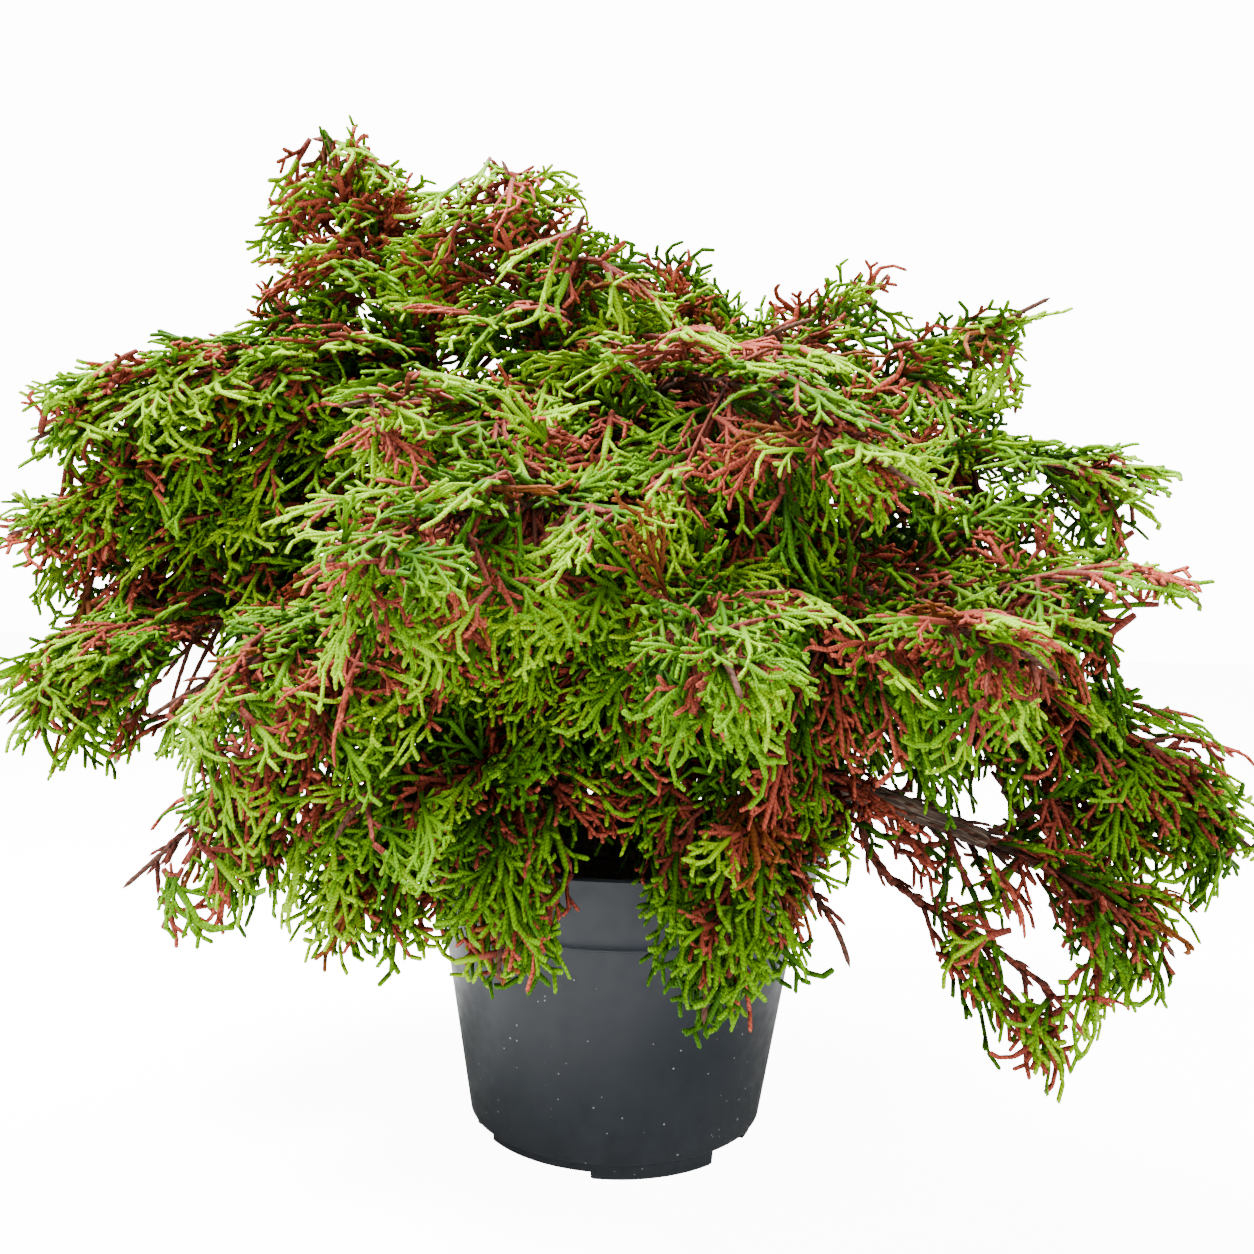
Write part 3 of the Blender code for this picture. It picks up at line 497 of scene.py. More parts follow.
# Shares of the sprays at each level, by how red their mass is
ALL_RED = 0.28
MOSTLY_RED = 0.70
ROOT_RED = 0.10
RED_AXIS = 0.36
RED_AXIS_GAIN = 0.9
SPRAY_SCALES = (0.90, 1.10)
SPRAY_FOLDS = (0.05, 0.35)
SPRAY_DROOPS = (0.08, 0.30)
SPRAY_SPREAD_DROOP = 0.6
# A heap this full starts the next one, so that each stays under 200,000 triangles
FULL_HEAP = 186000

# How well lit a spray has to be for a green, from the way the light comes
LIGHT_WAY = Vector((-0.25, -0.35, 0.9))
LIGHT_RISE = 1.2
LIGHT_LEVEL = 240.0 * MM
LIGHT_START = 0.35
LIGHT_DEPTH = 45.0 * MM
LIGHT_JITTER = 0.5
LIME_LIGHT = 0.50
GREEN_LIGHT = -0.15


def polar(azimuth, reach, height):
    """A place given by azimuth, and by reach and height in millimetres."""
    turn = math.radians(azimuth)
    return Vector((reach * math.sin(turn), -reach * math.cos(turn), height)) * MM


def square_to(along, wanted):
    """The direction nearest to the wanted one that is square to a limb."""
    return (wanted - along * wanted.dot(along)).normalized()


class Limb:
    """A curved tapering limb: the points of its axis and its radii."""

    def __init__(self, points, radii):
        self.points = points
        self.radii = radii
        self.length = sum((b - a).length for a, b in zip(points, points[1:]))

    def at(self, share):
        """Point and direction at a share of the length."""
        last = len(self.points) - 1
        place = min(max(share, 0.0), 1.0) * last
        index = min(int(place), last - 1)
        here = self.points[index].lerp(self.points[index + 1], place - index)
        before = self.points[max(0, int(math.ceil(place)) - 1)]
        after = self.points[min(last, int(place) + 1)]
        return here, (after - before).normalized()

    def radius_at(self, share):
        """Radius at a share of the length."""
        place = min(max(share, 0.0), 1.0) * (len(self.radii) - 1)
        index = min(int(place), len(self.radii) - 2)
        part = place - index
        return self.radii[index] * (1.0 - part) + self.radii[index + 1] * part


def lean_off(ahead, away, degrees):
    """A direction that leans off a limb's own by some degrees."""
    lean = math.radians(degrees)
    return ahead * math.cos(lean) + away * math.sin(lean)


def round_limb(ahead, degrees):
    """The way square to a limb, turned round it by some degrees from straight up."""
    return Matrix.Rotation(math.radians(degrees), 3, ahead) @ square_to(ahead, UP)


def bend(start, leaving, end, arriving, steps):
    """Points on one smooth bend between two places and two directions."""
    grip = (end - start).length * BEND_GRIP
    first = start + leaving * grip
    second = end - arriving * grip
    points = []
    for step in range(steps + 1):
        t = step / steps
        u = 1.0 - t
        points.append(start * u ** 3 + first * 3.0 * u * u * t
                      + second * 3.0 * u * t * t + end * t ** 3)
    return points


def taper(first, last, steps):
    """Radii that fall evenly from first to last."""
    return [first + (last - first) * step / steps for step in range(steps + 1)]


def join_on(carrier, share, target):
    """Where a limb starts inside its carrier, and the way it sets off."""
    centre, ahead = carrier.at(share)
    if share >= 1.0:
        return centre - ahead * (FORK_DEPTH * carrier.radius_at(share)), ahead
    away = square_to(ahead, target - centre)
    return centre + away * (SEAT_DEPTH * carrier.radius_at(share)), away


def trunk_limb():
    """The trunk's axis, with its lean, taper and root flare."""
    points = []
    radii = []
    for step in range(2 * LIMB_STEPS + 1):
        share = step / (2.0 * LIMB_STEPS)
        bulge = TRUNK_BULGE * math.sin(math.pi * share)
        points.append(TRUNK_FOOT.lerp(TRUNK_TOP, share) + bulge)
        flare = FLARE_EXTRA * math.exp(-share / FLARE_REACH)
        radii.append(TRUNK_RADIUS + (TRUNK_TOP_RADIUS - TRUNK_RADIUS) * share + flare)
    return Limb(points, radii)


def bough_limb(carrier, share, azimuth, reach, height, stout):
    """One bough's axis, rising from its carrier and arching out to its end."""
    end = polar(azimuth, reach, height)
    start, leaving = join_on(carrier, share, end)
    run = end - start
    direct = run.normalized()
    if Vector((run.x, run.y)).length > LEVEL_RUN_SHARE * run.length:
        arriving = (direct + LEVEL_END_DROP).normalized()
        if share >= 1.0:
            leaving = (leaving + FORK_LIFT).normalized()
    else:
        arriving = (direct + STEEP_END_LIFT).normalized()
    points = bend(start, leaving, end, arriving, LIMB_STEPS)
    thick = BOUGH_END_RADIUS + BOUGH_TAPER * run.length
    return Limb(points, taper(stout * thick, stout * BOUGH_END_RADIUS, LIMB_STEPS))


def stem_limb(carrier, share, azimuth, reach, height, pitch):
    """One mass's stem, from its bough to its furthest tip."""
    end = polar(azimuth, reach, height)
    start, leaving = join_on(carrier, share, end)
    outward = Vector((end.x - start.x, end.y - start.y, 0.0))
    if outward.length < STEM_LEAST_RUN:
        outward = polar(azimuth, 1.0, 0.0)
    lean = math.radians(pitch)
    arriving = outward.normalized() * math.cos(lean) + UP * math.sin(lean)
    points = bend(start, leaving, end, arriving, LIMB_STEPS)
    return Limb(points, taper(STEM_RADIUS, STEM_TIP_RADIUS, LIMB_STEPS))


class Heap:
    """Triangles gathered from many small pieces, kept as arrays for one joined mesh."""

    def __init__(self):
        self.corners = []
        self.faces = []
        self.maps = []
        self.ages = []
        self.count = 0

    def add(self, corners, faces, maps, ages):
        """One more piece: corners, faces, a UV for each face corner and ages."""
        self.corners.append(corners)
        self.faces.append(faces + self.count)
        self.maps.append(maps)
        self.ages.append(ages)
        self.count += len(corners)

    def triangles(self):
        """How many triangles the heap holds."""
        return sum(len(faces) for faces in self.faces)


def heap_mesh(name, heap, material):
    """One object with one joined mesh, smooth, with its UV map and ages."""
    corners = np.concatenate(heap.corners)
    faces = np.concatenate(heap.faces)
    mesh = bpy.data.meshes.new(name)
    mesh.vertices.add(len(corners))
    mesh.vertices.foreach_set("co", corners.astype(np.float32).ravel())
    mesh.loops.add(faces.size)
    mesh.loops.foreach_set("vertex_index", faces.astype(np.int32).ravel())
    mesh.polygons.add(len(faces))
    mesh.polygons.foreach_set("loop_start", np.arange(0, faces.size, 3, dtype=np.int32))
    mesh.polygons.foreach_set("use_smooth", np.ones(len(faces), dtype=bool))
    layer = mesh.uv_layers.new(name="UVMap")
    layer.data.foreach_set("uv", np.concatenate(heap.maps).astype(np.float32).ravel())
    ages = mesh.attributes.new("age", "FLOAT", "POINT")
    ages.data.foreach_set("value", np.concatenate(heap.ages).astype(np.float32))
    mesh.update(calc_edges=True)
    mesh.materials.append(material)
    item = bpy.data.objects.new(name, mesh)
    bpy.context.scene.collection.objects.link(item)
    return item


def tube_faces(rings, sides):
    """Triangles of a closed tube with a pointed end, and (side, ring) of their corners."""
    faces = []
    around = []
    for ring in range(rings - 1):
        for side in range(sides):
            after = (side + 1) % sides
            here = ring * sides
            faces.append((here + side, here + after, here + sides + after))
            faces.append((here + side, here + sides + after, here + sides + side))
            around.append(((side, ring), (side + 1, ring), (side + 1, ring + 1)))
            around.append(((side, ring), (side + 1, ring + 1), (side, ring + 1)))
    last = (rings - 1) * sides
    for side in range(sides):
        faces.append((last + side, last + (side + 1) % sides, rings * sides))
        around.append(((side, rings - 1), (side + 1, rings - 1), (side + 0.5, rings)))
    for side in range(1, sides - 1):
        faces.append((0, side + 1, side))
        around.append(((0, 0), (side + 1, 0), (side, 0)))
    return np.array(faces), np.array(around, dtype=float)


TUBES = {}


def tube_piece(centres, across, upward, widths, depths, sides, ages):
    """One closed tube: all but the last centre have a ring, the last is its end."""
    rings = len(centres) - 1
    if (rings, sides) not in TUBES:
        TUBES[(rings, sides)] = tube_faces(rings, sides)
    faces, around = TUBES[(rings, sides)]
    turns = 2.0 * math.pi * (np.arange(sides) / sides + 0.25)
    spokes = (across[:-1, None, :] * (widths[:-1, None] * np.cos(turns))[:, :, None]
              + upward[:-1, None, :] * (depths[:-1, None] * np.sin(turns))[:, :, None])
    corners = (centres[:-1, None, :] + spokes).reshape(-1, 3)
    corners = np.concatenate([corners, centres[-1:]])
    steps = np.linalg.norm(np.diff(centres, axis=0), axis=1)
    runs = np.concatenate([[0.0], np.cumsum(steps)]) / MM
    maps = np.empty(around.shape)
    maps[:, :, 0] = around[:, :, 0] / sides + 0.25
    maps[:, :, 1] = runs[around[:, :, 1].astype(int)]
    return corners, faces, maps, np.append(np.repeat(ages[:-1], sides), ages[-1])


def flat_line(start, heading, turn, length, slope):
    """Ring centres of one cord in its spray's plane, with the plane's side way."""
    count = max(3, int(round(length / RING_PITCH)) + 1)
    shares = np.linspace(0.0, 1.0, count)
    shares[-2] = 1.0 - CORD_TIP_ROOM / (count - 1)
    angles = heading + turn * shares
    steps = np.diff(shares)[:, None] * length
    ways = np.stack([np.cos(angles), np.sin(angles), np.full(count, slope)], axis=1)
    centres = start + np.concatenate([np.zeros((1, 3)), np.cumsum(ways[:-1] * steps, axis=0)])
    across = np.stack([-np.sin(angles), np.cos(angles), np.zeros(count)], axis=1)
    return centres, across, angles


def beaded(count, half_width):
    """Half widths along a cord: small swellings and a blunt round tip."""
    widths = np.full(count, half_width)
    widths[1::2] *= CORD_SWELLING
    widths[0] *= CORD_ROOT_WIDTH
    widths[-2] = half_width * CORD_TIP_WIDTH
    return widths


def spray_cords(chance, length, inner):
    """Cords of one flat spray, each with its rings and how far out its root is."""
    cords = []
    wander = chance.uniform(-AXIS_WANDER, AXIS_WANDER)
    axis, across, angles = flat_line(np.zeros(3), -0.5 * wander, wander, length, 0.0)
    cords.append((axis, across, 0.0, AXIS_HALF_WIDTH))
    sides = int(round(SIDE_SPAN * length / SIDE_PITCH))
    sign = chance.choice((-1.0, 1.0))
    for index in range(sides):
        share = SIDE_FIRST + SIDE_SPAN * (index + 0.5) / sides
        sign = -sign
        root, turn = on_line(axis, angles, share)
        fall = max(0.0, share - SIDE_FALL) / (1.0 - SIDE_FALL)
        swell = min(1.0, share / SIDE_FULL) ** 0.5 * (1.0 - SIDE_SHORTENING * fall)
        reach = SIDE_REACH * length * swell * chance.uniform(*SIDE_REACH_SPREAD)
        reach = max(SIDE_SHORTEST, reach)
        lean = math.radians(SIDE_LEAN * chance.uniform(*SIDE_LEAN_SPREAD))
        lean *= 1.0 - SIDE_CLOSING * share
        line, way, turns = flat_line(root, turn + sign * lean, SIDE_CURL * sign * lean, reach,
                                     chance.uniform(-SIDE_SLOPE, SIDE_SLOPE))
        widening = INNER_CORD_WIDENING if inner else 1.0
        cords.append((line, way, share, CORD_HALF_WIDTH * widening))
        if inner:
            continue
        outer = sign
        for lobe in range(int((reach - LOBE_START - LOBE_END_ROOM) / LOBE_PITCH) + 1):
            pitch = LOBE_PITCH * chance.uniform(*LOBE_PITCH_SPREAD)
            along = (LOBE_START + lobe * pitch) / reach
            if along > LOBE_LAST:
                continue
            start, turn = on_line(line, turns, along)
            size = LOBE_LENGTH * (LOBE_FIRST_SIZE - LOBE_SHORTENING * along)
            size *= chance.uniform(*LOBE_LENGTH_SPREAD)
            swing = outer * math.radians(LOBE_LEAN * chance.uniform(*LOBE_LEAN_SPREAD))
            lobe_line, lobe_way, unused = flat_line(start, turn + swing, LOBE_CURL * swing, size,
                                                    chance.uniform(-LOBE_SLOPE, LOBE_SLOPE))
            root_out = share + LOBE_OUTNESS * along * reach / length
            cords.append((lobe_line, lobe_way, root_out, LOBE_HALF_WIDTH))
            outer = -outer
    return cords


def on_line(line, angles, share):
    """The place on a flat cord at a share of its length, and its heading there."""
    place = share * (len(line) - 1)
    low = min(int(place), len(line) - 2)
    return line[low] + (line[low + 1] - line[low]) * (place - low), angles[low]


def spray_templates(chance):
    """Each spray size, variant and red level as a red and a green set of arrays."""
    templates = []
    for length in SPRAY_LENGTHS + (INNER_LENGTH,):
        for variant in range(SPRAY_VARIANTS):
            cords = spray_cords(chance, length, length == INNER_LENGTH)
            levels = [spray_arrays(cords, length, red_reach) for red_reach in RED_LEVELS]
            templates.append((length, levels))
    return templates


def spray_arrays(cords, length, red_reach):
    """The red part and the green part of one spray as joined arrays."""
    pair = (Heap(), Heap())
    for line, across, root_out, half in cords:
        count = len(line)
        widths = beaded(count, half)
        ages = np.clip(np.linalg.norm(line[:, :2], axis=1) / length, 0.0, YOUNGEST)
        up = np.tile((0.0, 0.0, 1.0), (count, 1))
        sides = 3 if half < AXIS_HALF_WIDTH else 4
        parts = ((0, count, 0 if root_out <= red_reach else 1),)
        if root_out == 0.0 and red_reach < 1.0:
            split = max(2, int(red_reach * count))
            parts = ((0, split + 1, 0), (split - 1, count, 1))
        for first, last, which in parts:
            part = slice(first, last)
            pair[which].add(*tube_piece(line[part], across[part], up[part], widths[part],
                                        widths[part] * CORD_FLATNESS, sides, ages[part]))
    return [packed(heap) for heap in pair]


def packed(heap):
    """A heap's arrays joined up, or none for an empty heap."""
    if not heap.corners:
        return None
    return (np.concatenate(heap.corners), np.concatenate(heap.faces),
            np.concatenate(heap.maps), np.concatenate(heap.ages))


def limb_tube(limb, skin, heap, chance):
    """A limb as a tube with rings at an even pitch, knobbly and with a rough skin."""
    sides, pitch, swell, relief = skin
    count = max(4, int(round(limb.length / pitch)) + 1)
    centres = []
    across = []
    upward = []
    widths = []
    side = limb.at(0.0)[1].orthogonal().normalized()
    for ring in range(count):
        share = ring / (count - 1)
        here, ahead = limb.at(share)
        side = square_to(ahead, side)
        centres.append(here)
        across.append(side)
        upward.append(ahead.cross(side))
        knob = 1.0 + swell * (1.0 if ring % 2 else -1.0)
        widths.append(limb.radius_at(share) * knob)
    arrays = [np.array([tuple(item) for item in row]) for row in (centres, across, upward)]
    widths = np.array(widths)
    ages = np.linspace(0.0, 1.0, count)
    corners, faces, maps, ages = tube_piece(*arrays, widths, widths, sides, ages)
    if relief:
        rings = corners[:-1].reshape(count - 1, sides, 3)
        spokes = rings - arrays[0][:-1, None, :]
        phase = chance.uniform(0.0, FULL_TURN)
        ridge = np.zeros((count - 1, sides))
        turns = 2.0 * math.pi * np.arange(sides) / sides
        runs = np.linspace(0.0, limb.length / MM, count - 1)[:, None]
        for waves, drift, size in BARK_RIDGES:
            ridge += size * np.abs(np.sin(0.5 * waves * turns + drift * runs + phase))
        grain = np.random.default_rng(int(phase * 1000))
        rough = grain.normal(0.0, BARK_GRAIN, (count - 1, sides))
        lift = relief * (ridge - BARK_GROOVE + rough)
        corners[:-1] += (spokes * lift[:, :, None]).reshape(-1, 3)
    heap.add(corners, faces, maps, ages)


def spurs(limb, first, last, size, heap, chance):
    """Short old shoots that stand close along a limb and make it shaggy."""
    count = int(limb.length * (last - first) / SPUR_PITCH)
    turn = chance.uniform(0.0, FULL_TURN)
    for index in range(count):
        share = first + (last - first) * (index + chance.random()) / count
        here, ahead = limb.at(share)
        turn += SPUR_TURN
        away = Matrix.Rotation(turn, 3, ahead) @ ahead.orthogonal().normalized()
        along = lean_off(ahead, away, chance.uniform(*SPUR_LEANS))
        start = here + away * (SPUR_SEAT * limb.radius_at(share))
        length = size * chance.uniform(*SPUR_SPREAD)
        end = start + (along + ahead * SPUR_BEND).normalized() * length
        spur = Limb(bend(start, along, end, ahead, SPUR_STEPS),
                    taper(SPUR_RADIUS, SPUR_TIP_RADIUS, SPUR_STEPS))
        limb_tube(spur, SPUR_SKIN, heap, chance)


class Space:
    """The room that the crown may fill: balls along every stem, as wide as its mass."""

    def __init__(self):
        self.centres = []
        self.radii = []
        self.rises = []

    def add_stem(self, stem, width, pitch):
        """Balls along one stem, none of which reaches far past its tip."""
        steep = pitch > STEEP
        point, room = (PEAK_POINT, PEAK_TIP_ROOM) if steep else (ARM_POINT, TIP_ROOM)
        for step in range(SPACE_STEPS + 1):
            share = step / SPACE_STEPS
            wide = 0.5 * width * MM * min(1.0, ROOT_WIDTH + ROOT_WIDENING * share)
            wide *= 1.0 - point * share
            wide = min(wide, stem.length * (1.0 - share) + room)
            self.add_ball(stem.at(share)[0], wide, steep)

    def add_bough(self, bough, first, radius):
        """Balls along the leafy stretch of a bough, for what fills the crown."""
        for step in range(SPACE_STEPS + 1):
            share = first + (1.0 - first) * step / SPACE_STEPS
            self.add_ball(bough.at(share)[0], radius, False)

    def add_ball(self, centre, radius, steep):
        """One ball, flatter on top the further out it lies on an arching limb."""
        rise = 1.0 if steep else RISE_WEIGHT + math.hypot(centre.x, centre.y) / RISE_REACH
        self.centres.append(tuple(centre))
        self.radii.append(radius)
        self.rises.append(rise)

    def close(self):
        """Turn the balls into arrays once all are there."""
        self.centres = np.array(self.centres)
        self.radii = np.array(self.radii)
        self.rises = np.array(self.rises)

    def inward(self, place):
        """The way from a place to the middle of the ball that holds it deepest."""
        apart = self.centres - np.array(place)
        near = (self.radii - np.linalg.norm(apart, axis=1)).argmax()
        return apart[near] / max(1.0 * MM, np.linalg.norm(apart[near]))

    def depth(self, places):
        """How deep inside the crown each place lies; negative is outside it."""
        apart = places[:, None, :] - self.centres[None, :, :]
        apart[:, :, 2] *= np.where(apart[:, :, 2] > 0.0, self.rises, FALL_WEIGHT)
        return (self.radii - np.linalg.norm(apart, axis=2)).max(axis=1)

    def depth_at(self, place):
        """How deep inside the crown one place lies."""
        return float(self.depth(np.array([tuple(place)]))[0])


class Foliage:
    """Heaps for the twigs and for each colour of spray, and the rule that fills them."""

    def __init__(self, chance, space):
        self.chance = chance
        self.space = space
        self.templates = spray_templates(chance)
        self.heaps = {}

    def heap(self, kind):
        """The heap of one kind that still has room."""
        heaps = self.heaps.setdefault(kind, [Heap()])
        if heaps[-1].triangles() > FULL_HEAP:
            heaps.append(Heap())
        return heaps[-1]

    def place(self, root, along, normal, size, droop, kind, red_level):
        """One spray, bent down towards its tips, put into the heaps."""
        variant = self.chance.randrange(SPRAY_VARIANTS)
        length, levels = self.templates[size * SPRAY_VARIANTS + variant]
        scale = self.chance.uniform(*SPRAY_SCALES) * front_scale(root)
        mirror = self.chance.choice((-1.0, 1.0))
        fold = self.chance.uniform(*SPRAY_FOLDS)
        side = np.array(normal.cross(along).normalized())
        axes = (np.array(along), side, np.array(normal))
        base = np.array(root)
        placed = []
        for part in levels[red_level]:
            if part is None:
                placed.append(None)
                continue
            corners, faces, maps, ages = part
            forward = corners[:, 0] * scale
            across = corners[:, 1] * scale
            far = (forward * forward + SPRAY_SPREAD_DROOP * across * across) / (length * scale)
            lift = corners[:, 2] * scale - fold * across * across / (0.5 * length)
            made = (base + forward[:, None] * axes[0] + (mirror * across)[:, None] * axes[1]
                    + lift[:, None] * axes[2])
            made[:, 2] -= droop * far
            if mirror < 0.0:
                faces = faces[:, ::-1]
                maps = maps[:, ::-1]
            placed.append((made, faces, maps, ages))
        every = np.concatenate([part[0] for part in placed if part is not None])
        if not self.within_reach(every) or not clear_of_pot(every):
            return False
        for part, name in zip(placed, ("red" if kind != "rust" else "rust", kind)):
            if part is not None:
                self.heap(name).add(*part)
        return True

    def within_reach(self, places):
        """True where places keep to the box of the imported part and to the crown's space."""
        low, high = (np.array(corner) for corner in cad_box)
        if (places < low - EDGE_ROOM).any() or (places > high + EDGE_ROOM).any():
            return False
        some = places[::9]
        return bool((self.space.depth(some) > 0.0).all()) and not shows_sky(some)

    def kind_at(self, place, normal, depth):
        """Which green a spray has, from how far out and how well lit it is."""
        light = normal.dot(LIGHT_WAY) + LIGHT_RISE * (place.z - LIGHT_LEVEL)
        light += LIGHT_START - depth / LIGHT_DEPTH
        light += self.chance.uniform(-LIGHT_JITTER, LIGHT_JITTER)
        if light > LIME_LIGHT:
            return "lime"
        return "green" if light > GREEN_LIGHT else "deep"

    def red_level(self, share, redness):
        """How much of a spray is red: more near the wood and in reddened masses."""
        roll = self.chance.random()
        if roll < ALL_RED * redness:
            return 3
        if roll < MOSTLY_RED * redness + ROOT_RED * (1.0 - share):
            return 2
        return 1 if roll < RED_AXIS + RED_AXIS_GAIN * redness else 0

    def spray(self, root, along, normal, size, redness, share, inner=False):
        """One spray of the wanted size, or the next smaller that has room."""
        depth = self.space.depth_at(root)
        kind = self.kind_at(root, normal, depth)
        level = self.red_level(share, redness)
        if self.chance.random() < RUST_SHARE:
            kind = "rust"
        droop = self.chance.uniform(*SPRAY_DROOPS) * (1.0 - RISING_DROOP_CUT * max(0.0, along.z))
        if inner and depth > INNER_DEPTH:
            return self.place(root, along, normal, len(SPRAY_LENGTHS), droop, kind, level)
        inward = Vector(self.space.inward(root))
        for smaller in range(size, len(SPRAY_LENGTHS)):
            if self.place(root, along, normal, smaller, droop, kind, level):
                return True
            along = (along + inward * TURN_INWARD).normalized()
            normal = square_to(along, normal)
        return False

    def branch(self, start, along, away, length, redness, share, inner=False):
        """A twig that arches over, with sprays to both sides and one at its end."""
        chance = self.chance
        end = start + along * length + DOWN * (BRANCH_DROOP * length)
        tip_depth = self.space.depth_at(end)
        if tip_depth < LEAST_TIP_DEPTH:
            length = max(SHORTEST_BRANCH, length + tip_depth - TIP_CUT)
            end = start + along * length + DOWN * (BRANCH_DROOP * length)
        arriving = (along + DOWN * (2.0 * BRANCH_DROOP + low_hang(end))).normalized()
        twig = Limb(bend(start, along, end, arriving, TWIG_STEPS),
                    taper(BRANCH_RADIUS, BRANCH_TIP_RADIUS, TWIG_STEPS))
        count = max(1, int(length / SPRAY_SPACING))
        held = 0.0
        sign = chance.choice((-1.0, 1.0))
        for index in range(count):
            place = SPRAY_FIRST + SPRAY_SPAN * index / count
            here, ahead = twig.at(place)
            normal = self.facing(here, ahead, away)
            across = normal.cross(ahead).normalized() * sign
            side_along = lean_off(ahead, across, chance.uniform(*SPRAY_LEAN))
            side_along = (side_along + DOWN * (SPRAY_HANG + 0.5 * low_hang(here))).normalized()
            size = chance.choice(BRANCH_SIZES)
            if self.spray(here, side_along, square_to(side_along, normal), size, redness,
                          share, inner and place < 0.5):
                held = place
            sign = -sign
        here, ahead = twig.at(1.0)
        if self.spray(here, ahead, self.facing(here, ahead, away), 0, redness, share):
            held = 1.0
        if held:
            last = 2 + int(held * (len(twig.points) - 2))
            twig = Limb(twig.points[:last], twig.radii[:last])
            limb_tube(twig, TWIG_SKIN, self.heap("twigs"), chance)

    def facing(self, place, along, away):
        """The way a spray faces: out of the crown, to its own side and up."""
        outward = (place - CROWN_CENTRE).normalized()
        sideways = FACE_SIDEWAYS + FACE_ARMS * min(1.0, abs(place.x) / ARM_SPAN)
        jitter = Vector([self.chance.uniform(-FACE_JITTER, FACE_JITTER) for axis in range(3)])
        return square_to(along, outward + away * sideways + UP * FACE_UP + jitter)

    def stem(self, stem, width, redness, bare):
        """Twigs all round one stem, short sprays along its top, and one at its tip."""
        chance = self.chance
        wood = self.heap("twigs" if bare else "stems")
        limb_tube(stem, STEM_SKIN, wood, chance)
        spurs(stem, 0.0, STEM_SPUR_LAST, STEM_SPUR_LENGTH, self.heap("twigs"), chance)
        first = max(BRANCH_FIRST, bare)
        tip = stem.points[-1]
        far = math.hypot(tip.x, tip.y) > ARM_REACH or tip.z > PEAK_HEIGHT
        pitch = ARM_PITCH if far else BRANCH_PITCH
        count = max(2, int(round(stem.length * (BRANCH_LAST - first) / pitch)))
        for index in range(count):
            share = first + (BRANCH_LAST - first) * index / (count - 1)
            here, ahead = stem.at(share)
            around, lean, part, hang = BRANCH_RING[index % len(BRANCH_RING)]
            away = round_limb(ahead, around + chance.uniform(-GROWTH_JITTER, GROWTH_JITTER))
            lean += chance.uniform(-GROWTH_JITTER, GROWTH_JITTER)
            hang += low_hang(here) + ARM_HANG * min(1.0, abs(here.x) / ARM_SPAN)
            hang *= 1.0 - RISING_HANG_CUT * max(0.0, ahead.z)
            along = (lean_off(ahead, away, lean) + DOWN * hang).normalized()
            fall = max(0.0, share - BRANCH_FALL) / (1.0 - BRANCH_FALL)
            swell = 1.0 - BRANCH_SHORTENING * fall
            length = width * MM * BRANCH_REACH * swell * part * chance.uniform(*BRANCH_SPREAD)
            self.branch(here, along, away, max(SHORTEST_BRANCH, length), redness, share)
        for index in range(int(stem.length * (1.0 - first) / SHINGLE_PITCH)):
            share = first + index * SHINGLE_PITCH / stem.length
            here, ahead = stem.at(share)
            away = round_limb(ahead, SHINGLE_TURNS[index % len(SHINGLE_TURNS)])
            along = (ahead + away * SHINGLE_LEAN).normalized()
            size = chance.choice(SHINGLE_SIZES)
            self.spray(here, along, self.facing(here, along, UP), size, redness, share)
        here, ahead = stem.at(1.0 - TIP_SPRAY_SHARE * SPRAY_LENGTHS[0] / stem.length)
        reach_end = (stem.points[-1] - here).normalized()
        self.spray(here, reach_end, self.facing(here, reach_end, UP), 0, 0.5 * redness, 1.0)

    def shoots(self, bough, first, redness, turns=SHOOT_TURNS):
        """Short leafy shoots that stand on a bough and fill the crown."""
        chance = self.chance
        count = int(bough.length * (1.0 - first) / SHOOT_PITCH)
        for index in range(count):
            share = first + (1.0 - first) * (index + 0.5) / count
            here, ahead = bough.at(share)
            jitter = chance.uniform(-SHOOT_JITTER, SHOOT_JITTER)
            away = round_limb(ahead, turns[index % len(turns)] + jitter)
            along = (ahead * SHOOT_AHEAD + away).normalized()
            length = chance.uniform(*SHOOT_LENGTHS)
            self.branch(here, along, away, length, redness, SHOOT_REDNESS_SHARE, True)


def front_scale(place):
    """How large sprays are: finest on the youngest growth, out at the front."""
    return BACK_SCALE - FRONT_SHRINK * min(1.0, max(0.0, -place.y / FRONT_REACH))


def shows_sky(places):
    """True where any place hides sky that the photograph shows through the crown."""
    grown = -CAMERA_PLACE.y / (places[:, 1] - CAMERA_PLACE.y)
    right = places[:, 0] * grown
    height = CAMERA_PLACE.z + (places[:, 2] - CAMERA_PLACE.z) * grown
    for middle, level, radius in SKY_GAPS:
        if (np.hypot(right - middle * MM, height - level * MM) < radius * MM).any():
            return True
    return False


def low_hang(place):
    """How much more a twig hangs where nothing lies under it, low in the crown."""
    return LOW_HANG * min(1.0, max(0.0, (LOW_HANG_TOP - place.z) / LOW_HANG_SPAN))


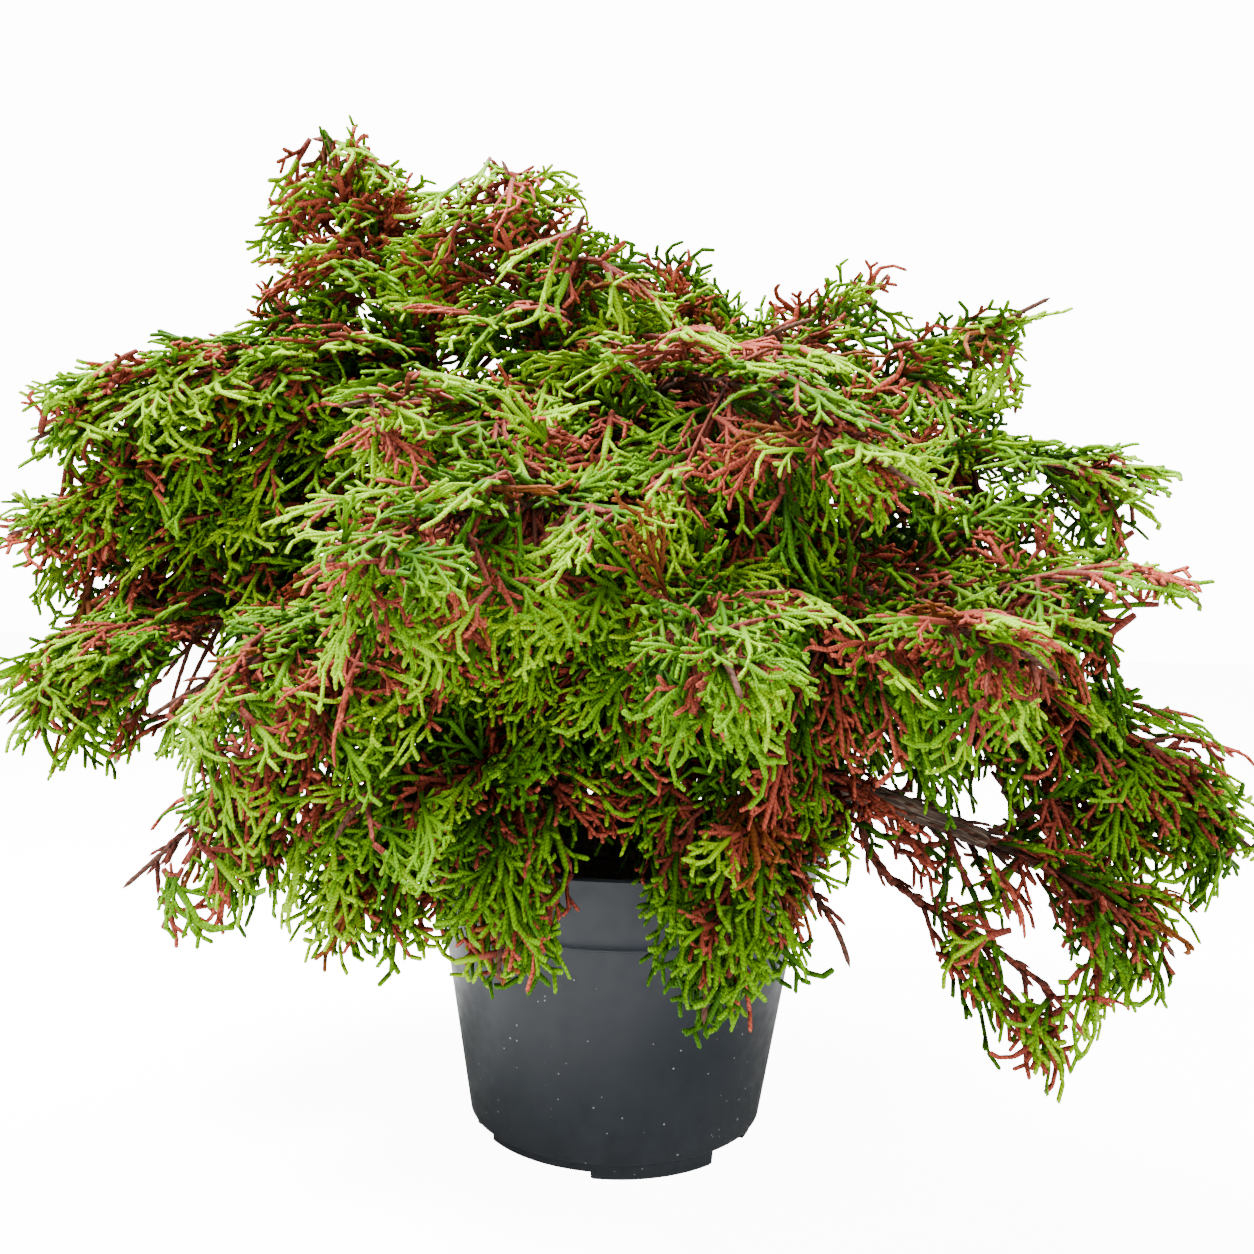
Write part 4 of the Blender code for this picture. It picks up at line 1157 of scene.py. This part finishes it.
def clear_of_pot(places):
    """True where places lie clear of the pot, its ears and the mix."""
    radius = np.hypot(places[:, 0], places[:, 1])
    height = places[:, 2]
    azimuth = np.degrees(np.arctan2(places[:, 0], -places[:, 1]))
    by_ear = np.zeros(len(places), dtype=bool)
    for ear in EAR_AZIMUTHS:
        off = np.abs((azimuth - ear + 180.0) % 360.0 - 180.0)
        by_ear |= off < EAR_HALF_SPAN + EAR_SIDE_ROOM
    levels = (0.0, SEAM_HEIGHT, COLLAR_HEIGHT, RIM_HEIGHT)
    wall = np.interp(height, levels, (BODY_FOOT_RADIUS, SEAM_RADIUS, COLLAR_RADIUS, RIM_RADIUS))
    wall = np.where(by_ear & (height > COLLAR_HEIGHT), RIM_RADIUS + EAR_FLARE, wall)
    top = RIM_HEIGHT + np.where(by_ear, EAR_RISE, 0.0)
    outside = radius > wall + POT_ROOM
    inside = (radius < RIM_RADIUS - INNER_RIM_ROOM) & (height > MIX_TOP + MIX_ROOM)
    above = height > top + POT_ROOM
    return bool((outside | inside | above).all())


def set_up_camera():
    """The camera at the photograph's viewpoint, with its tilt and roll."""
    bpy.ops.object.camera_add(location=CAMERA_PLACE)
    camera = bpy.context.object
    camera.name = "camera"
    camera.data.sensor_width = SENSOR_WIDTH
    camera.data.lens = SENSOR_WIDTH * FOCAL_PIXELS / IMAGE_PIXELS
    forward = Vector((0.0, math.cos(CAMERA_TILT), -math.sin(CAMERA_TILT)))
    upward = Vector((0.0, math.sin(CAMERA_TILT), math.cos(CAMERA_TILT)))
    right = Vector((1.0, 0.0, 0.0))
    cosine = math.cos(CAMERA_ROLL)
    sine = math.sin(CAMERA_ROLL)
    rolled_right = right * cosine + upward * sine
    rolled_up = upward * cosine - right * sine
    turn = Matrix((rolled_right, rolled_up, -forward)).transposed()
    camera.matrix_world = Matrix.Translation(CAMERA_PLACE) @ turn.to_4x4()
    bpy.context.scene.camera = camera


def area_light(name, place, aim, size, power):
    """One soft square light that points at a place."""
    bpy.ops.object.light_add(type="AREA", location=place)
    light = bpy.context.object
    light.name = name
    light.data.size = size
    light.data.energy = power
    way = Vector(aim) - Vector(place)
    light.rotation_euler = way.to_track_quat("-Z", "Y").to_euler()


def set_up_studio():
    """Pale floor, white surroundings and soft lights."""
    bpy.ops.object.select_all(action="DESELECT")
    bpy.ops.mesh.primitive_plane_add(size=FLOOR_SIZE, location=(0.0, 0.0, -FLOOR_GAP))
    floor = bpy.context.object
    floor.name = "studio_floor"
    material, tree, shader = new_material("studio_floor", roughness=0.85)
    shader.inputs["Base Color"].default_value = (0.92, 0.92, 0.92, 1.0)
    shader.inputs["Emission Color"].default_value = WHITE
    tree.links.new(glow(tree, 0.0, FLOOR_GLOW), shader.inputs["Emission Strength"])
    floor.data.materials.append(material)
    world = bpy.data.worlds.new("studio")
    bpy.context.scene.world = world
    world.use_nodes = True
    tree = world.node_tree
    backdrop = tree.nodes["Background"]
    backdrop.inputs["Color"].default_value = WHITE
    tree.links.new(glow(tree, WORLD_LIGHT, WORLD_GLOW), backdrop.inputs["Strength"])
    for light in LIGHTS:
        area_light(*light)


def new_material(name, roughness):
    """A Principled material with its node tree and its shader."""
    material = bpy.data.materials.new(name)
    material.use_nodes = True
    shader = material.node_tree.nodes["Principled BSDF"]
    shader.inputs["Roughness"].default_value = roughness
    return material, material.node_tree, shader


def wire(tree, kind, inputs=(), **settings):
    """Add a node, set what it is given and link or fill its inputs."""
    node = tree.nodes.new(kind)
    for key, value in settings.items():
        setattr(node, key, value)
    for socket, value in dict(inputs).items():
        if isinstance(value, bpy.types.NodeSocket):
            tree.links.new(value, node.inputs[socket])
        else:
            node.inputs[socket].default_value = value
    return node


def maths(tree, operation, *values):
    """The result of one sum on numbers or sockets."""
    return wire(tree, "ShaderNodeMath", enumerate(values), operation=operation).outputs[0]


def spread(tree, value, start, end, low=0.0, high=1.0):
    """A value that goes from low to high while the given one goes from start to end."""
    given = {"Value": value, "From Min": start, "From Max": end, "To Min": low, "To Max": high}
    return wire(tree, "ShaderNodeMapRange", given).outputs[0]


def glow(tree, unseen, seen):
    """A strength for the rays that the camera sees, and another for all the rest."""
    paths = wire(tree, "ShaderNodeLightPath")
    return spread(tree, paths.outputs["Is Camera Ray"], 0.0, 1.0, unseen, seen)


def colour_mix(tree, factor, first, second):
    """A mix of two colours, each a socket or its red, green and blue."""
    mix = tree.nodes.new("ShaderNodeMix")
    mix.data_type = "RGBA"
    tree.links.new(factor, mix.inputs[0])
    for socket, value in ((mix.inputs[6], first), (mix.inputs[7], second)):
        if isinstance(value, tuple):
            socket.default_value = (*value, 1.0)
        else:
            tree.links.new(value, socket)
    return mix.outputs[2]


def raise_skin(tree, shader, height, strength, distance):
    """Bumps on a surface, from a height that changes over it."""
    bump = wire(tree, "ShaderNodeBump", {"Height": height, "Strength": strength,
                                         "Distance": distance})
    tree.links.new(bump.outputs["Normal"], shader.inputs["Normal"])


def group(name, label, value, outputs):
    """An empty node group with one input and its outputs, all of them numbers."""
    tree = bpy.data.node_groups.new(name, "ShaderNodeTree")
    socket = tree.interface.new_socket(label, in_out="INPUT", socket_type="NodeSocketFloat")
    socket.default_value = value
    for label in outputs:
        tree.interface.new_socket(label, in_out="OUTPUT", socket_type="NodeSocketFloat")
    return tree, tree.nodes.new("NodeGroupInput"), tree.nodes.new("NodeGroupOutput")


def scale_leaf_group():
    """Overlapping scale leaves round a cord: a height and a mask of their joints."""
    tree, start, end = group("scale_leaves", "Pitch", 1.5, ("Height", "Joint"))
    uv = wire(tree, "ShaderNodeUVMap")
    split = wire(tree, "ShaderNodeSeparateXYZ", {"Vector": uv.outputs[0]})
    turn = maths(tree, "MULTIPLY", split.outputs["X"], 2.0 * math.pi)
    lateral = maths(tree, "ABSOLUTE", maths(tree, "COSINE", turn))
    rows = maths(tree, "DIVIDE", split.outputs["Y"], start.outputs["Pitch"])
    saw = maths(tree, "FRACT", maths(tree, "MULTIPLY_ADD", lateral, SCALE_STAGGER, rows))
    tree.links.new(maths(tree, "POWER", saw, SCALE_BULGE), end.inputs["Height"])
    tree.links.new(spread(tree, saw, 0.0, SCALE_JOINT, 1.0, 0.0), end.inputs["Joint"])
    return tree


def drift_group():
    """Slow and fine changes of tone over a piece."""
    tree, start, end = group("tone_drift", "Scale", 20.0, ("Slow", "Fine"))
    place = wire(tree, "ShaderNodeTexCoord").outputs["Object"]
    scale = start.outputs["Scale"]
    finer = maths(tree, "MULTIPLY", scale, 9.0)
    for label, size, detail in (("Slow", scale, 2.0), ("Fine", finer, 4.0)):
        noise = wire(tree, "ShaderNodeTexNoise", {"Vector": place, "Scale": size, "Detail": detail})
        tree.links.new(noise.outputs["Fac"], end.inputs[label])
    return tree


SCALE_LEAVES = scale_leaf_group()
TONE_DRIFT = drift_group()


def place_group(tree, source, label, value):
    """A node group in a material, with its value."""
    node = tree.nodes.new("ShaderNodeGroup")
    node.node_tree = source
    node.inputs[label].default_value = value
    return node


def leafy_material(name, inner, outer, shadow, pitch, roughness):
    """Scale-leaved cords: one colour near the wood, another at the tips."""
    material, tree, shader = new_material(name, roughness)
    shader.inputs["Specular IOR Level"].default_value = LEAF_SPECULAR
    age = wire(tree, "ShaderNodeAttribute", attribute_name="age")
    drift = place_group(tree, TONE_DRIFT, "Scale", 26.0)
    scales = place_group(tree, SCALE_LEAVES, "Pitch", pitch)
    grown = maths(tree, "MULTIPLY_ADD", drift.outputs["Slow"], LEAF_DRIFT, age.outputs["Fac"])
    base = colour_mix(tree, spread(tree, grown, *LEAF_CHANGE), inner, outer)
    base = colour_mix(tree, maths(tree, "MULTIPLY", scales.outputs["Joint"], JOINT_SHADE), base,
                      shadow)
    tree.links.new(base, shader.inputs["Base Color"])
    raise_skin(tree, shader, scales.outputs["Height"], *LEAF_BUMPS)
    return material


def bark_material():
    """Grey-brown fibrous bark with paler peeling strips."""
    material, tree, shader = new_material("fibrous_bark", roughness=0.9)
    uv = wire(tree, "ShaderNodeUVMap")
    stretch = wire(tree, "ShaderNodeMapping", {"Vector": uv.outputs[0], "Scale": BARK_STRETCH})
    fibres = wire(tree, "ShaderNodeTexNoise", {"Vector": stretch.outputs[0], "Scale": 3.0,
                                               "Detail": 8.0, "Distortion": 0.8})
    tones = wire(tree, "ShaderNodeValToRGB", {"Fac": fibres.outputs["Fac"]})
    stops = tones.color_ramp.elements
    stops.new(0.5)
    for stop, (position, colour) in zip(stops, BARK_TONES):
        stop.position = position
        stop.color = (*colour, 1.0)
    tree.links.new(tones.outputs["Color"], shader.inputs["Base Color"])
    raise_skin(tree, shader, fibres.outputs["Fac"], *BARK_BUMPS)
    return material


def plastic_material():
    """Charcoal moulded plastic with pale specks, with dust and painted light towards the foot."""
    material, tree, shader = new_material("charcoal_plastic", roughness=0.42)
    shader.inputs["Specular IOR Level"].default_value = PLASTIC_SPECULAR
    place = wire(tree, "ShaderNodeTexCoord").outputs["Object"]
    level = wire(tree, "ShaderNodeSeparateXYZ", {"Vector": place}).outputs["Z"]
    drift = place_group(tree, TONE_DRIFT, "Scale", 14.0)
    base = colour_mix(tree, drift.outputs["Slow"], *PLASTIC_TONES)
    specks = wire(tree, "ShaderNodeTexVoronoi", {"Vector": place, "Scale": SPECK_SCALE,
                                                 "Randomness": 1.0})
    picked = wire(tree, "ShaderNodeSeparateColor", {"Color": specks.outputs["Color"]})
    smaller = maths(tree, "MULTIPLY", picked.outputs["Red"], 0.5)
    # Specks grow larger towards the foot, partly as painted light there
    size = maths(tree, "SUBTRACT", spread(tree, level, 0.0, 0.1, *SPECK_AND_FOOT_LIGHT_SIZES), smaller)
    speck = maths(tree, "LESS_THAN", specks.outputs["Distance"], size)
    # Dust near the foot, partly painted light that lifts the shaded foot
    dust_and_light_fade = spread(tree, level, 0.0, DUST_AND_FOOT_LIGHT_HEIGHT, DUST_AND_FOOT_LIGHT_SHARE, 0.0)
    dust_and_foot_light = maths(tree, "MULTIPLY", dust_and_light_fade, drift.outputs["Fine"])
    base = colour_mix(tree, dust_and_foot_light, base, DUST_AND_FOOT_LIGHT_TONE)
    base = colour_mix(tree, speck, base, SPECK_TONE)
    tree.links.new(base, shader.inputs["Base Color"])
    rough = spread(tree, drift.outputs["Fine"], 0.3, 0.7, *PLASTIC_ROUGHNESS)
    tree.links.new(rough, shader.inputs["Roughness"])
    raise_skin(tree, shader, drift.outputs["Fine"], *PLASTIC_BUMPS)
    return material


def earth_material():
    """Dark fibrous potting mix."""
    material, tree, shader = new_material("peaty_mix", roughness=0.95)
    fine = place_group(tree, TONE_DRIFT, "Scale", 60.0).outputs["Fine"]
    tree.links.new(colour_mix(tree, fine, *MIX_TONES), shader.inputs["Base Color"])
    raise_skin(tree, shader, fine, *MIX_BUMPS)
    return material


def build_pot():
    """The moulded pot, its rings extruded one by one from a disc."""
    rows = [
        (FOOT_RADIUS - POT_EDGE, 0.0),
        (FOOT_RADIUS, POT_EDGE),
        (FOOT_RADIUS + 0.6 * MM, FOOT_HEIGHT - 0.6 * MM),
        (BODY_FOOT_RADIUS - 0.6 * MM, FOOT_HEIGHT + 0.2 * MM),
        (BODY_FOOT_RADIUS, FOOT_HEIGHT + POT_EDGE),
        (SEAM_RADIUS - 0.25 * MM, SEAM_HEIGHT - 0.8 * MM),
        (SEAM_RADIUS + 0.6 * MM, SEAM_HEIGHT - 0.4 * MM),
        (SEAM_RADIUS + 0.7 * MM, SEAM_HEIGHT + 0.2 * MM),
        (SEAM_RADIUS + 3.2 * MM, SEAM_HEIGHT + POT_EDGE),
        (COLLAR_RADIUS - POT_EDGE, COLLAR_FOOT),
        (COLLAR_RADIUS, COLLAR_HEIGHT),
        (COLLAR_RADIUS + POT_EDGE, COLLAR_HEIGHT + 8.0 * MM),
        (RIM_RADIUS - 2.8 * MM, RIM_HEIGHT - 6.0 * MM),
        (RIM_RADIUS - 0.4 * MM, RIM_HEIGHT - 2.2 * MM),
        (RIM_RADIUS, RIM_HEIGHT - POT_EDGE),
        (RIM_RADIUS - 0.6 * MM, RIM_HEIGHT),
        (RIM_RADIUS - 2.4 * MM, RIM_HEIGHT),
        (RIM_RADIUS - 4.8 * MM, RIM_HEIGHT - 6.0 * MM),
        (COLLAR_RADIUS - 0.8 * MM, COLLAR_HEIGHT + 8.0 * MM),
        (COLLAR_RADIUS - 3.2 * MM, INNER_COLLAR_FOOT),
        (SEAM_RADIUS - POT_WALL, SEAM_HEIGHT + POT_EDGE),
        (BODY_FOOT_RADIUS - POT_WALL, FOOT_HEIGHT + POT_EDGE),
        (BODY_FOOT_RADIUS - 2.0 * POT_WALL, POT_FLOOR),
    ]
    bpy.ops.object.select_all(action="DESELECT")
    bpy.ops.mesh.primitive_circle_add(vertices=POT_STEPS, radius=rows[0][0],
                                      fill_type="NGON", location=(0.0, 0.0, 0.0))
    pot = bpy.context.object
    pot.name = "moulded_pot"
    bpy.ops.object.mode_set(mode="EDIT")
    bpy.ops.mesh.select_all(action="SELECT")
    for (radius, height), (wider, higher) in zip(rows, rows[1:]):
        bpy.ops.mesh.extrude_region_move(
            TRANSFORM_OT_translate={"value": (0.0, 0.0, higher - height)})
        ratio = wider / radius
        bpy.ops.transform.resize(value=(ratio, ratio, 1.0), center_override=(0.0, 0.0, higher))
    bpy.ops.mesh.select_all(action="SELECT")
    bpy.ops.mesh.normals_make_consistent(inside=False)
    bpy.ops.object.mode_set(mode="OBJECT")
    for azimuth in EAR_AZIMUTHS:
        use_tool(pot, build_ear(azimuth), "UNION")
    for azimuths, width, inner, height in FOOT_NOTCHES:
        for azimuth in azimuths:
            use_tool(pot, foot_cutter(azimuth, width, inner, height), "DIFFERENCE")
    bpy.ops.object.select_all(action="DESELECT")
    pot.select_set(True)
    bpy.context.view_layer.objects.active = pot
    bpy.ops.object.shade_smooth_by_angle(angle=math.radians(SMOOTH_ANGLE))
    return pot


def foot_cutter(azimuth, width, inner, height):
    """A block that cuts a notch of some height into the foot, from outside."""
    turn = math.radians(azimuth)
    outer = BODY_FOOT_RADIUS + NOTCH_OUTWARD
    middle = 0.5 * (inner + outer)
    level = 0.5 * (height - NOTCH_BELOW)
    place = (middle * math.sin(turn), -middle * math.cos(turn), level)
    bpy.ops.object.select_all(action="DESELECT")
    bpy.ops.mesh.primitive_cube_add(size=1.0, location=place, rotation=(0.0, 0.0, turn))
    block = bpy.context.object
    block.scale = (width, outer - inner, height + NOTCH_BELOW)
    bpy.ops.object.transform_apply(location=True, rotation=True, scale=True)
    return block


def build_ear(azimuth):
    """A grip ear: a grid curved round the rim, flared out and given its wall."""
    bpy.ops.object.select_all(action="DESELECT")
    bpy.ops.mesh.primitive_grid_add(x_subdivisions=EAR_COLUMNS, y_subdivisions=EAR_ROWS, size=2.0)
    ear = bpy.context.object
    for corner in ear.data.vertices:
        share = corner.co.x
        up = 0.5 * (corner.co.y + 1.0)
        turn = math.radians(azimuth + EAR_HALF_SPAN * share)
        arch = math.sqrt(max(0.0, 1.0 - abs(share) ** 4))
        rise = EAR_END_RISE + (1.0 - EAR_END_RISE) * arch
        radius = RIM_RADIUS - EAR_INSET + EAR_FLARE * rise * up ** EAR_FLARE_CURVE
        height = RIM_HEIGHT - EAR_ROOT + (EAR_RISE + EAR_ROOT) * rise * up
        corner.co = (radius * math.sin(turn), -radius * math.cos(turn), height)
    wall = ear.modifiers.new("wall", "SOLIDIFY")
    wall.thickness = POT_WALL
    wall.offset = 0.0
    soften = ear.modifiers.new("soften", "BEVEL")
    soften.width = EAR_SOFTENING
    soften.segments = 2
    bpy.ops.object.modifier_apply(modifier="wall")
    bpy.ops.object.modifier_apply(modifier="soften")
    bpy.ops.object.mode_set(mode="EDIT")
    bpy.ops.mesh.select_all(action="SELECT")
    bpy.ops.mesh.normals_make_consistent(inside=False)
    bpy.ops.object.mode_set(mode="OBJECT")
    return ear


def use_tool(item, tool, operation):
    """Join or cut a piece with another one, which is then removed."""
    bpy.ops.object.select_all(action="DESELECT")
    bpy.context.view_layer.objects.active = item
    item.select_set(True)
    modifier = item.modifiers.new("tool", "BOOLEAN")
    modifier.object = tool
    modifier.operation = operation
    modifier.solver = "EXACT"
    bpy.ops.object.modifier_apply(modifier="tool")
    bpy.data.objects.remove(tool, do_unlink=True)


def finish_piece(item, slot, *nodes):
    """A piece rides with the plant and stands for its nodes; the slot it is given is not used."""
    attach(item, "root")
    if nodes:
        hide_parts(*nodes)


def dress_pot():
    """The moulded pot in its plastic, and the mix in a material of its own."""
    pot = build_pot()
    pot.data.materials.clear()
    pot.data.materials.append(plastic_material())
    finish_piece(pot, "pot_plastic", "pot")
    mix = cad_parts["potting_mix"]
    mix.data.materials.clear()
    mix.data.materials.append(earth_material())


def grow_wood(chance):
    """The trunk and the boughs under their bark, and the limbs that they follow."""
    bark = bark_material()
    limbs = {"trunk": trunk_limb()}
    wood = Heap()
    limb_tube(limbs["trunk"], TRUNK_SKIN, wood, chance)
    finish_piece(heap_mesh("trunk_bark", wood, bark), "bark", "trunk")
    wood = Heap()
    for name, carrier, share, azimuth, reach, height in BOUGHS:
        limbs[name] = bough_limb(limbs[carrier], share, azimuth, reach, height,
                                 STOUT_BOUGHS.get(name, 1.0))
        limb_tube(limbs[name], BOUGH_SKIN, wood, chance)
    finish_piece(heap_mesh("boughs_bark", wood, bark), "bark", *[row[0] for row in BOUGHS])
    return limbs


def grow_crown(limbs, chance):
    """Stems, twigs and sprays from the boughs out, in one piece or more a colour."""
    space = Space()
    stems = {}
    for name, carrier, share, azimuth, reach, height, width, pitch, redness in MASSES:
        stems[name] = stem_limb(limbs[carrier], share, azimuth, reach, height, pitch)
        space.add_stem(stems[name], width, pitch)
    leafy_boughs = [row[0] for row in BOUGHS if row[0] != BARE_BOUGH]
    for name in leafy_boughs:
        space.add_bough(limbs[name], *BOUGH_ROOM)
    space.add_bough(limbs[BARE_BOUGH], *BARE_BOUGH_ROOM)
    for azimuth, reach, height, radius in TUFTS:
        space.add_ball(polar(azimuth, reach, height), radius * MM, True)
    space.close()

    foliage = Foliage(chance, space)
    for name, *place in BOUGHS:
        for layer in range(SPUR_LAYERS):
            spurs(limbs[name], BOUGH_SPUR_FIRST, 1.0, BOUGH_SPUR_LENGTH, foliage.heap("stems"),
                  chance)
    for name, *place, width, pitch, redness in MASSES:
        foliage.stem(stems[name], width, redness, BARE_SHARES.get(name, 0.0))
    for name in leafy_boughs:
        foliage.shoots(limbs[name], *BOUGH_SHOOTS)
    foliage.shoots(limbs["trunk"], *TRUNK_SHOOTS)
    for name in FILLED_STEMS:
        foliage.shoots(stems[name], *STEM_SHOOTS)
    foliage.shoots(limbs[BARE_BOUGH], *BARE_BOUGH_SHOOTS, HANGING_TURNS)

    nodes = [row[0] for row in MASSES]
    for kind, heaps in foliage.heaps.items():
        material = leafy_material(*LEAFY_TONES[kind])
        slot = "bark" if kind in ("twigs", "stems") else "sprays"
        for index, heap in enumerate(heaps):
            item = heap_mesh(kind + "_sprays_" + str(index + 1), heap, material)
            finish_piece(item, slot, *nodes)


def main():
    """Build every piece of the plant and its pot."""
    set_up_camera()
    set_up_studio()
    dress_pot()
    chance = random.Random(SEED)
    grow_crown(grow_wood(chance), chance)


main()
